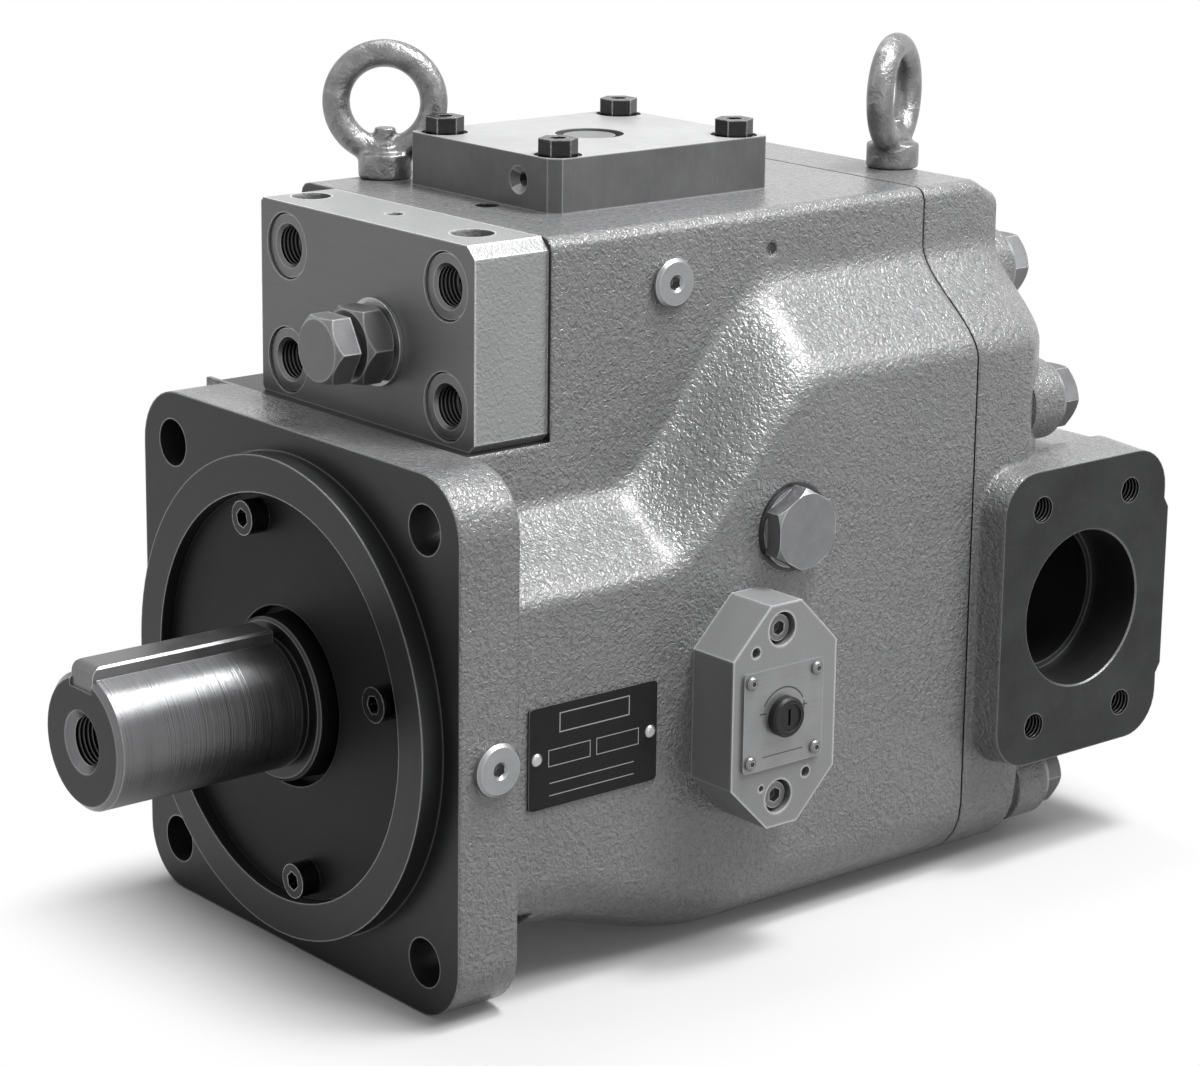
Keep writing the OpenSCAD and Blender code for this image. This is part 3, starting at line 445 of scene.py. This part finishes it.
def black_steel():
    """Blackened screws: oily, with corners lightened as rubbed wear and as a painted highlight."""
    f = Finish("black_steel")
    cloud = f.noise(2.5, detail=3.0)
    tone = f.blend(cloud, (0.012, 0.012, 0.013), (0.03, 0.03, 0.032))
    tone = f.blend((f.edge_wear_and_highlight(0.9) * (f.noise(2.0) * 1.6 + 0.1)).kept(), tone, (0.55, 0.55, 0.56))
    return f.done(tone, 0.18 + cloud * 0.14, 0.75, f.bump(f.noise(0.5), 0.02))


def thread_rings(name, axis, dark, light, pitch=1.75):
    """A thread, inside a tapped hole or on a screw: rings that follow each other at its pitch."""
    f = Finish(name, specular=0.4)
    run = f.axes()["xyz".index(axis)]
    crest = (run * (2.0 * math.pi / (pitch * MM))).math("SINE")
    # The tone follows the same rings as the bump: dark in the thread's roots and pale on its crests, a
    # painted shade and painted highlight.
    tone = f.blend((crest * 0.5 + 0.5) ** 2.0, dark, light)
    return f.done(tone, 0.34 + f.noise(4.0) * 0.12, 0.85, f.bump(crest, pitch * 0.28))


def forged_zinc():
    """Forged lifting eyes: hammered ridges and hollows under a dull plating."""
    f = Finish("forged_zinc")
    dents = f.noise(7.0, detail=3.0, rough=0.5, warp=0.6)
    grain = f.noise(1.1, detail=3.0, rough=0.6)
    cloud = f.noise(14.0, detail=4.0, rough=0.6)
    # The tone is darker in the hollows of the hammer dents and paler on their ridges: painted shade and
    # highlight over the dents' bump; cloud and grain are the plating's own.
    amount = (cloud * 0.6 + (dents - 0.5) * 0.9 + (grain - 0.5) * 0.4 + 0.2).kept()
    tone = f.blend(amount, (0.1, 0.1, 0.103), (0.34, 0.34, 0.345))
    relief = f.bump(grain, 0.22)
    relief = f.bump(dents, 1.2, relief, 0.9)
    return f.done(tone, 0.26 + grain * 0.16, 0.8, relief, coat=0.1)


def rubber():
    """Seals and gaskets: black and matt."""
    f = Finish("seal_rubber", specular=0.35)
    cloud = f.noise(5.0, detail=3.0)
    tone = f.blend(cloud, (0.012, 0.012, 0.013), (0.035, 0.035, 0.037))
    return f.done(tone, 0.5 + cloud * 0.2, 0.0, f.bump(f.noise(0.6), 0.03))


def bearing_bronze():
    """Cages, slippers and liners."""
    f = Finish("bearing_bronze")
    cloud = f.noise(12.0, detail=4.0, rough=0.6)
    fine = f.noise(0.7, detail=2.0)
    tone = f.blend(cloud, (0.42, 0.27, 0.11), (0.62, 0.44, 0.2))
    return f.done(tone, 0.28 + cloud * 0.16, 0.9, f.bump(fine, 0.02))


def spring_wire():
    """Springs and circlips: dark, oiled steel."""
    f = Finish("spring_wire")
    cloud = f.noise(5.0, detail=3.0)
    tone = f.blend(cloud, (0.09, 0.09, 0.095), (0.2, 0.2, 0.205))
    return f.done(tone, 0.26 + cloud * 0.16, 0.85, f.bump(f.noise(0.6), 0.03))


def knob_plastic():
    """The black trim knob, with edges made paler as rubbed wear and as a painted highlight."""
    f = Finish("knob_plastic", specular=0.3)
    grain = f.noise(0.5, detail=2.0)
    cloud = f.noise(6.0, detail=3.0)
    tone = f.blend(cloud, (0.005, 0.005, 0.0055), (0.013, 0.013, 0.014))
    tone = f.blend(f.edge_wear_and_highlight(0.4) * 0.4, tone, (0.16, 0.16, 0.16))
    return f.done(tone, 0.38 + cloud * 0.14, 0.0, f.bump(grain, 0.04))


def outline(u, v, across, up, line):
    """1 on the drawn outline of a box whose spans and line are given in millimetres."""
    sides = []
    for value, (low, high) in ((u, across), (v, up)):
        sides.append((value - (low + high) / 2 * MM).size() - (high - low) / 2 * MM)
    return sides[0].most(sides[1]).size() < line / 2 * MM


def tag_black():
    """The name plate: black lacquer with empty fields and lines to write on."""
    f = Finish("tag_black", specular=0.15)
    x, y, z = f.axes()
    u, v = y - TAG_Y, z - TAG_Z
    drawn = outline(u, v, (14.0, 46.0), (27.5, 34.5), 0.45)
    for across in ((9.0, 28.0), (31.0, 50.5)):
        drawn = drawn.most(outline(u, v, across, (15.5, 21.5), 0.35))
    for low in (4.6, 9.2):
        rule = ((v - low * MM).size() < 0.18 * MM) * ((u - 29 * MM).size() < 19.5 * MM)
        drawn = drawn.most(rule)
    rub = f.noise(7.0, detail=4.0, rough=0.65)
    tone = f.blend(rub, (0.006, 0.006, 0.0065), (0.015, 0.015, 0.016))
    tone = f.blend(drawn * (0.7 + rub * 0.2), tone, (0.42, 0.42, 0.43))
    # Lighter edges: wear, and a painted highlight along them.
    tone = f.blend(f.edge_wear_and_highlight(0.4) * 0.7, tone, (0.5, 0.5, 0.51))
    return f.done(tone, 0.34 + rub * 0.22, drawn * 0.5, f.bump(f.noise(0.8), 0.015))


def plate_silver():
    """The small adjuster plate: brushed aluminium with a turning mark, plus, minus and a line."""
    f = Finish("plate_silver")
    x, y, z = f.axes()
    strokes = f.noise(0.4, detail=3.0, at=f.stretched((1, 0.03, 1)))
    cloud = f.noise(12.0, detail=3.0)
    tone = f.blend((cloud + (strokes - 0.5) * 0.7).kept(), (0.22, 0.222, 0.226), (0.31, 0.312, 0.316))
    u, v = y - TRIM_Y, z - TRIM_Z
    away = (u * u + v * v) ** 0.5
    mark = ((away - 10.8 * MM).size() < 0.3 * MM) * (v > 5.2 * MM)
    right, left, low = u - 10.2 * MM, u + 10.2 * MM, v - 2.4 * MM
    for across, along in ((right, low), (low, right), (low, left)):
        mark = mark.most((across.size() < 0.28 * MM) * (along.size() < 1.5 * MM))
    mark = mark.most(((v + 14.2 * MM).size() < 0.2 * MM) * (u.size() < 10 * MM))
    tone = f.blend(mark * 0.9, tone, (0.02, 0.02, 0.021))
    # Lighter edges: wear, and a painted highlight along them.
    tone = f.blend(f.edge_wear_and_highlight(0.4) * 0.6, tone, (0.7, 0.7, 0.71))
    return f.done(tone, 0.32 + cloud * 0.12, 0.7 - mark * 0.6, f.bump(strokes, 0.01))


PAINT = cast_paint()
IRON = bare_iron("bare_iron", (0.052, 0.053, 0.055), (0.085, 0.086, 0.088))
FLANGE_FACE = turned_iron(
    "flange_face", (0.02, 0.0204, 0.0212), (0.045, 0.0458, 0.0475),
    rough=0.36, pitch=0.6, metallic=0.6, wear_and_highlight_by=8.0)
BORE_WALL = turned_iron(
    "bore_wall", (0.05, 0.051, 0.053), (0.11, 0.111, 0.114), axis="x", centre=(PORT_Y, PORT_Z))
SEAL_FACE = turned_iron(
    "seal_face", (0.006, 0.0062, 0.0066), (0.015, 0.0154, 0.016),
    rough=0.5, pitch=0.5, metallic=0.4, wear_and_highlight_by=14.0, specular=0.25)
PAD_FACE = bare_iron("pad_face", (0.026, 0.0265, 0.0275), (0.05, 0.051, 0.0525), rough=0.42)
BLOCK_FACE = block_face()
# The valve block's paler blasted finish: its grain is the block's own, and its paleness on the faces turned
# toward the lamps is painted light.
BLOCK_LIT_SIDE = blasted_face("block_side", 1.8, 0.42, (0.25, 0.252, 0.255), (0.32, 0.322, 0.326))
ADJUSTER_ALLOY = blasted_face("adjuster_alloy", 0.9, 0.05, (0.235, 0.237, 0.24), (0.29, 0.292, 0.296))
PLATE_STEEL = plate_steel()
PLATE_SIDE = bare_iron(
    "plate_side", (0.1, 0.101, 0.103), (0.15, 0.151, 0.154), metallic=0.5, along=(1, 1, 0.08), rough=0.4)
BRIGHT = bright_steel("bright_steel", (0.34, 0.342, 0.348), (0.52, 0.522, 0.53))
PLUG_STEEL = bright_steel("plug_steel", (0.24, 0.242, 0.246), (0.36, 0.362, 0.368), rough=0.34)
SATIN = bright_steel("satin_steel", (0.2, 0.202, 0.206), (0.32, 0.322, 0.328), rough=0.36)
PLUG_DARK = bright_steel("plug_dark", (0.16, 0.162, 0.165), (0.25, 0.252, 0.257), rough=0.36)
CAP_STEEL = bright_steel(
    "cap_steel", (0.15, 0.151, 0.154), (0.21, 0.211, 0.215), rough=0.36, metallic=0.45, edge=1.1)
NUT_STEEL = bright_steel(
    "nut_steel", (0.105, 0.106, 0.108), (0.155, 0.156, 0.159), rough=0.36, metallic=0.45, edge=1.1)
SCREW_GREY = bright_steel("screw_grey", (0.12, 0.121, 0.124), (0.2, 0.201, 0.205), rough=0.32)
SHAFT_FACE = turned_iron(
    "shaft_face", (0.019, 0.0194, 0.0205), (0.044, 0.045, 0.0465),
    rough=0.34, pitch=0.5, metallic=0.85, wear_and_highlight_by=5.0)
SHAFT = shaft_steel()
BLACK = black_steel()
THREAD_X = thread_rings("thread_x", "x", (0.01, 0.01, 0.011), (0.09, 0.09, 0.093))
THREAD_Y = thread_rings("thread_y", "y", (0.014, 0.014, 0.015), (0.16, 0.16, 0.164))
SCREW_THREAD = thread_rings("screw_thread", "y", (0.1, 0.1, 0.102), (0.5, 0.5, 0.505))
ZINC = forged_zinc()
RUBBER = rubber()
BRONZE = bearing_bronze()
SPRING = spring_wire()
KNOB = knob_plastic()
TAG = tag_black()
SILVER = plate_silver()
KEY_STEEL = bright_steel("key_steel", (0.13, 0.131, 0.134), (0.2, 0.201, 0.205))
GROUND_STEEL = bright_steel("ground_steel", (0.42, 0.422, 0.428), (0.58, 0.582, 0.59), rough=0.2)
DRUM = bright_steel("drum_steel", (0.3, 0.28, 0.23), (0.44, 0.42, 0.36))

INNER = {
    "cover_gasket": RUBBER, "shaft_seal": RUBBER, "cover_o_ring": RUBBER, "dowel_pins": GROUND_STEEL,
    "front_outer_race": GROUND_STEEL, "front_rollers": GROUND_STEEL, "front_inner_race": GROUND_STEEL,
    "rear_outer_race": GROUND_STEEL, "rear_rollers": GROUND_STEEL, "rear_inner_race": GROUND_STEEL,
    "front_cage": BRONZE, "rear_cage": BRONZE, "shaft_circlip": SPRING, "cylinder_block": DRUM,
    "pistons": GROUND_STEEL, "slippers": BRONZE, "retainer_plate": SATIN, "ball_guide": SATIN,
    "push_pins": GROUND_STEEL, "spring_rings": SATIN, "block_spring": SPRING, "block_circlip": SPRING,
    "swash_plate": SATIN, "cradle_block": SATIN, "cradle_bearings": BRONZE, "valve_plate": BRONZE,
    "valve_plate_pin": GROUND_STEEL, "control_piston": GROUND_STEEL, "control_sleeve": SATIN,
    "bias_piston": GROUND_STEEL, "bias_spring": SPRING, "spring_seat": SATIN, "compensator_spring": SPRING,
    "compensator_spool": GROUND_STEEL,
}


def finish_inside():
    """The pieces inside the casing keep their solids and get their metal."""
    for node, finish in INNER.items():
        piece = frame["nodes"][node]
        if piece.material_slots:
            for held in piece.material_slots:
                held.material = finish
        else:
            piece.data.materials.append(finish)


# the castings
def near(a, b, at_a, at_b, r):
    """Whether a point of a plane lies within a circle."""
    return (a - at_a) ** 2 + (b - at_b) ** 2 < r * r


def near_any(a, b, places, r):
    """Whether it lies within a circle of that radius round any of the places."""
    return any(near(a, b, at_a, at_b, r) for at_a, at_b in places)


def within(value, span):
    """Whether a value lies inside a span."""
    return span[0] < value < span[1]


def on(value, level):
    """Whether a value is at the level of a machined face."""
    return abs(value - level) < ON_FACE


def casting():
    """The housing: painted outside, with its flange face, bores and seats machined bare."""
    piece = traced("body_casting", "housing_casting")
    coat(piece, PAINT, FLANGE_FACE, IRON)

    def turned(c, n):
        face = n.y < -0.9 and c.y < ON_FACE
        pilot = c.y < -0.0001
        cover_seat = near(c.x, c.z, 0.0, 0.0, COVER_SEAT_R) and c.y < COVER_SEAT_DEPTH
        return face or pilot or cover_seat

    def bare(c, n):
        holes = near_any(c.x, c.z, FLANGE_HOLES, FLANGE_HOLE_R) and within(c.y, (-0.001, FLANGE_DEPTH))
        foot = n.z > 0.99 and on(c.z, BLOCK_FOOT) and c.y < BLOCK_BACK + 0.001
        back = n.y < -0.9 and on(c.y, BLOCK_BACK)
        rear = n.y > 0.9 and on(c.y, CASE_END)
        inside = near(c.x, c.z, 0.0, 0.0, INSIDE_R) and c.y > INSIDE_FROM
        spot = n.x > 0.9 and within(c.x, DRAIN_SPOT_X) and near(c.y, c.z, DRAIN_Y, DRAIN_Z, DRAIN_SPOT_R)
        top_hole = (
            abs(n.z) < 0.1 and within(c.z, TOP_HOLE_Z) and near(c.x, c.y, TOP_HOLE_X, TOP_HOLE_Y, TOP_HOLE_R))
        return holes or foot or back or rear or inside or spot or top_hole

    tint_faces(piece, 2, bare)
    tint_faces(piece, 1, turned)
    shade(piece, CASTING_SHARP)
    hand_over(piece, "body_casting")


def rear_casting():
    """The rear cover: painted, with its joint face, pads, port, taps and bolt faces machined."""
    piece = traced("rear_cover", "rear_casting")
    coat(piece, PAINT, PAD_FACE, BORE_WALL, THREAD_X)

    def pad(c, n):
        inlet = n.x > 0.9 and c.x > INLET_PAD
        delivery = n.x < -0.9 and c.x < DELIVERY_PAD
        joint = n.y < -0.9 and on(c.y, COVER_FRONT)
        return inlet or delivery or joint

    def bore(c, n):
        wall = near(c.y, c.z, PORT_Y, PORT_Z, PORT_WALL_R) and abs(n.x) < 0.8
        steps = near(c.y, c.z, PORT_Y, PORT_Z, PORT_STEP_R) and within(c.x, PORT_DEPTH) and abs(n.x) > 0.9
        return wall or steps

    def tapped(c, n):
        inlet = near_any(c.y, c.z, INLET_TAPS, INLET_TAP_R) and c.x > INLET_TAP_FROM
        delivery = near_any(c.y, c.z, DELIVERY_TAPS, DELIVERY_TAP_R) and c.x < DELIVERY_TAP_FROM
        return abs(n.x) < 0.5 and (inlet or delivery)

    tint_faces(piece, 1, pad)
    tint_faces(piece, 2, bore)
    tint_faces(piece, 3, tapped)
    tint_faces(piece, 1, lambda c, n: n.y > 0.9 and abs(c.y - COVER_BACK) < 0.0004)
    shade(piece, CASTING_SHARP)
    hand_over(piece, "rear_cover")


# the rest of the outside
def plain_piece(node, width, *finishes, picks=()):
    """A traced piece with its edges broken by that many millimetres.

    Each pick gives the next finish after the first to the faces for which it holds.
    """
    piece = traced(node)
    coat(piece, *finishes)
    for index, wanted in enumerate(picks, 1):
        tint_faces(piece, index, wanted)
    if width:
        round_edges(piece, width)
    else:
        shade(piece)
    hand_over(piece, node)


def lifting_eye(node):
    """A forged eye: the solid's parts melt into each other with soft roots."""
    piece = traced(node)
    coat(piece, ZINC)
    apply_modifier(piece, "REMESH", mode="VOXEL", voxel_size=0.7 * MM)
    apply_modifier(piece, "SMOOTH", factor=0.5, iterations=9)
    take(piece)
    bpy.ops.object.shade_smooth()
    hand_over(piece, node)


def bare_bar(c, n):
    """The shaft's end faces and its unpolished collar."""
    return n.y < -0.9 or within(c.y, SHAFT_COLLAR_Y)


def centre_tap(c, n):
    """The thread in the shaft's end."""
    return near(c.x, c.z, 0.0, 0.0, SHAFT_TAP_R) and c.y < SHAFT_TAP_TO and abs(n.y) < 0.5


def screw_socket(c, n):
    """The threaded middles of the valve block's screws."""
    return abs(n.y) < 0.4 and c.y < BLOCK_SOCKET_TO and near_any(c.x, c.z, BLOCK_SCREWS, BLOCK_SOCKET_R)


def adjuster_thread(c, n):
    """The thread of the adjusting screw."""
    return (
        near(c.x, c.z, ADJUST_X, ADJUST_Z, ADJUST_THREAD_R) and c.y > ADJUST_THREAD_FROM and abs(n.y) < 0.5)


def outside():
    """The separate pieces that show, each with its edge width and finishes."""
    plain_piece("seal_cover", 0.5, SEAL_FACE)
    plain_piece("seal_cover_screws", 0.35, BLACK)
    plain_piece("shaft", 0.3, SHAFT, THREAD_Y, SHAFT_FACE, picks=(centre_tap, bare_bar))
    plain_piece("shaft_key", 0.25, KEY_STEEL)
    # The faces turned to +X and upward, toward the lamps, get the paler finish: a blasted grain, and painted
    # light on the lit sides of the block.
    plain_piece("valve_block", 0.5, BLOCK_FACE, BLOCK_LIT_SIDE, picks=(lambda c, n: n.x > 0.5 or n.z > 0.5,))
    plain_piece("valve_block_screws", 0.3, SCREW_GREY, THREAD_Y, picks=(screw_socket,))
    plain_piece("adjust_screw", 0.3, CAP_STEEL, SCREW_THREAD, picks=(adjuster_thread,))
    plain_piece("lock_nut", 0.3, NUT_STEEL)
    plain_piece("adjust_washer", 0.25, BRIGHT)
    plain_piece("block_side_plug", 0.3, SCREW_GREY)
    plain_piece("block_side_pin", 0.5, BRIGHT)
    plain_piece("top_plate", 0.5, PLATE_STEEL, PLATE_SIDE, picks=(lambda c, n: abs(n.z) < 0.5,))
    plain_piece("top_plate_bolts", 0.35, BLACK, SATIN, picks=(
        lambda c, n: near(c.x, c.y, PLATED_BOLT_X, PLATED_BOLT_Y, PLATED_BOLT_R),))
    lifting_eye("eyebolt_front")
    lifting_eye("eyebolt_rear")
    plain_piece("side_plugs", 0.5, PLUG_STEEL)
    plain_piece("drain_plug", 0.6, PLUG_DARK)
    plain_piece("adjuster_block", 0.6, ADJUSTER_ALLOY)
    plain_piece("adjuster_fixings", 0.25, SCREW_GREY)
    plain_piece("adjuster_plate", 0, SILVER)
    plain_piece("trim_knob", 0.35, KNOB)
    plain_piece("nameplate", 0.12, TAG, BRIGHT, picks=(
        lambda c, n: near_any(c.y, c.z, TAG_RIVETS, TAG_RIVET_R),))
    plain_piece("cover_bolts", 0.6, SCREW_GREY)
    plain_piece("cover_washers", 0.3, SATIN)


# camera, light and floor
def set_camera():
    """The photo's view, in its own pixels."""
    az, el, roll = math.radians(50.105), math.radians(13.55), 0.0127
    back = Vector((math.sin(az) * math.cos(el), -math.cos(az) * math.cos(el), math.sin(el)))
    right = Vector((math.cos(az), math.sin(az), 0.0))
    up = back.cross(right)
    tilt_right = right * math.cos(roll) + up * math.sin(roll)
    tilt_up = up * math.cos(roll) - right * math.sin(roll)
    away, focal = 1.2295, 3362.74
    origin_right, origin_up = -305.45, -260.92
    metres = away / focal
    place = back * away - tilt_right * (origin_right * metres) - tilt_up * (origin_up * metres)
    data = bpy.data.cameras.new("photo_camera")
    camera = bpy.data.objects.new("photo_camera", data)
    bpy.context.scene.collection.objects.link(camera)
    turn = Matrix((tilt_right, tilt_up, back)).transposed().to_4x4()
    camera.matrix_world = Matrix.Translation(place) @ turn
    photo_width, photo_middle, level_row = 1200, 533.0, 433.0
    data.sensor_width = 36.0
    data.lens = focal / photo_width * data.sensor_width
    data.shift_y = (level_row - photo_middle) / photo_width
    data.clip_start, data.clip_end = 0.05, 60.0
    bpy.context.scene.camera = camera


def softbox(name, place, aim, size, power):
    """A square lamp of that side and wattage, turned toward the aim."""
    data = bpy.data.lights.new(name, "AREA")
    data.energy = power
    data.shape = "SQUARE"
    data.size = size
    lamp = bpy.data.objects.new(name, data)
    bpy.context.scene.collection.objects.link(lamp)
    lamp.location = place
    lamp.rotation_euler = (Vector(aim) - Vector(place)).to_track_quat("-Z", "Y").to_euler()


def set_light():
    """Six soft lamps, under a sky that is white to the camera and in mirrors, and dim as a light."""
    softbox("overhead", (0.72, 0.42, 1.4), (0.02, 0.1, 0.05), 0.6, 16.5)
    softbox("rear_right", (0.85, 1.05, 1.1), (0.02, 0.1, 0.08), 0.5, 6.5)
    softbox("top_left", (-0.5, 0.3, 1.5), (0.0, 0.13, 0.1), 0.7, 6.5)
    softbox("shaft_glint", (0.33, 0.45, 1.3), (0.0, -0.02, 0.0), 0.3, 13.0)
    softbox("right_fill", (1.5, -0.1, 0.4), (0.05, 0.13, 0.0), 0.6, 1.8)
    softbox("front_left", (-0.9, -1.3, 0.75), (0.0, 0.0, 0.0), 0.5, 1.2)
    world = bpy.data.worlds.new("studio")
    bpy.context.scene.world = world
    world.use_nodes = True
    tree = world.node_tree
    tree.nodes.clear()
    path = tree.nodes.new("ShaderNodeLightPath")
    seen = path.outputs["Is Camera Ray"]
    for name in ("Is Glossy Ray", "Is Transmission Ray"):
        both = tree.nodes.new("ShaderNodeMath")
        both.operation = "MAXIMUM"
        tree.links.new(seen, both.inputs[0])
        tree.links.new(path.outputs[name], both.inputs[1])
        seen = both.outputs[0]
    level = tree.nodes.new("ShaderNodeMapRange")
    level.inputs["To Min"].default_value = 0.3
    level.inputs["To Max"].default_value = 1.0
    sky = tree.nodes.new("ShaderNodeBackground")
    out = tree.nodes.new("ShaderNodeOutputWorld")
    tree.links.new(seen, level.inputs["Value"])
    tree.links.new(level.outputs["Result"], sky.inputs["Strength"])
    tree.links.new(sky.outputs[0], out.inputs["Surface"])
    sky.inputs["Color"].default_value = (1, 1, 1, 1)


def set_floor():
    """A pale floor that keeps the shadow near the pump and fades into the background."""
    leave_all()
    bpy.ops.mesh.primitive_circle_add(
        vertices=96, radius=9.0, fill_type="NGON", location=(0, MIDDLE_Y, GROUND - 0.0002))
    floor = bpy.context.object
    take(floor)
    bpy.ops.object.transform_apply(location=True, rotation=True, scale=True)
    floor.name = floor.data.name = "studio_floor"
    f = Finish("pale_floor", specular=0.0)
    x, y, z = f.axes()
    # The white glow, seen by the camera and in mirrors, comes in three and a half times as fast to the left
    # of the pump, so the shadow there fades sooner: painted light on the floor.
    beside = (x - 0.14).most(0.0) + (-0.085 - x).most(0.0) * 3.5
    along = (0.0 - y).most(0.0) * 1.6 + (y - 0.36).most(0.0)
    away = (beside * beside + along * along) ** 0.5
    far = f.node(
        "ShaderNodeMapRange", {"interpolation_type": "SMOOTHSTEP"},
        {"Value": away, "From Min": -0.02, "From Max": 0.14})
    direct = f.node("ShaderNodeLightPath", {}, out="Is Camera Ray")
    gloss = f.node("ShaderNodeLightPath", {}, out="Is Glossy Ray")
    seen = direct.most(gloss)
    glow = f.node("ShaderNodeEmission", {}, {"Color": (1, 1, 1), "Strength": 1.0})
    grain = f.noise(120.0)
    pale = f.blend(grain, (0.57, 0.57, 0.57), (0.59, 0.59, 0.59))
    f.done(f.blend(seen, (0.12, 0.12, 0.12), pale), 0.9)
    mixed = f.node("ShaderNodeMixShader", {}, [far * seen, Wire(f, f.shader.outputs[0]), glow])
    f.tree.links.new(mixed.socket, f.out.inputs["Surface"])
    coat(floor, f.material)


finish_inside()
casting()
rear_casting()
outside()
set_camera()
set_light()
set_floor()
bpy.context.scene.view_settings.view_transform = "Standard"
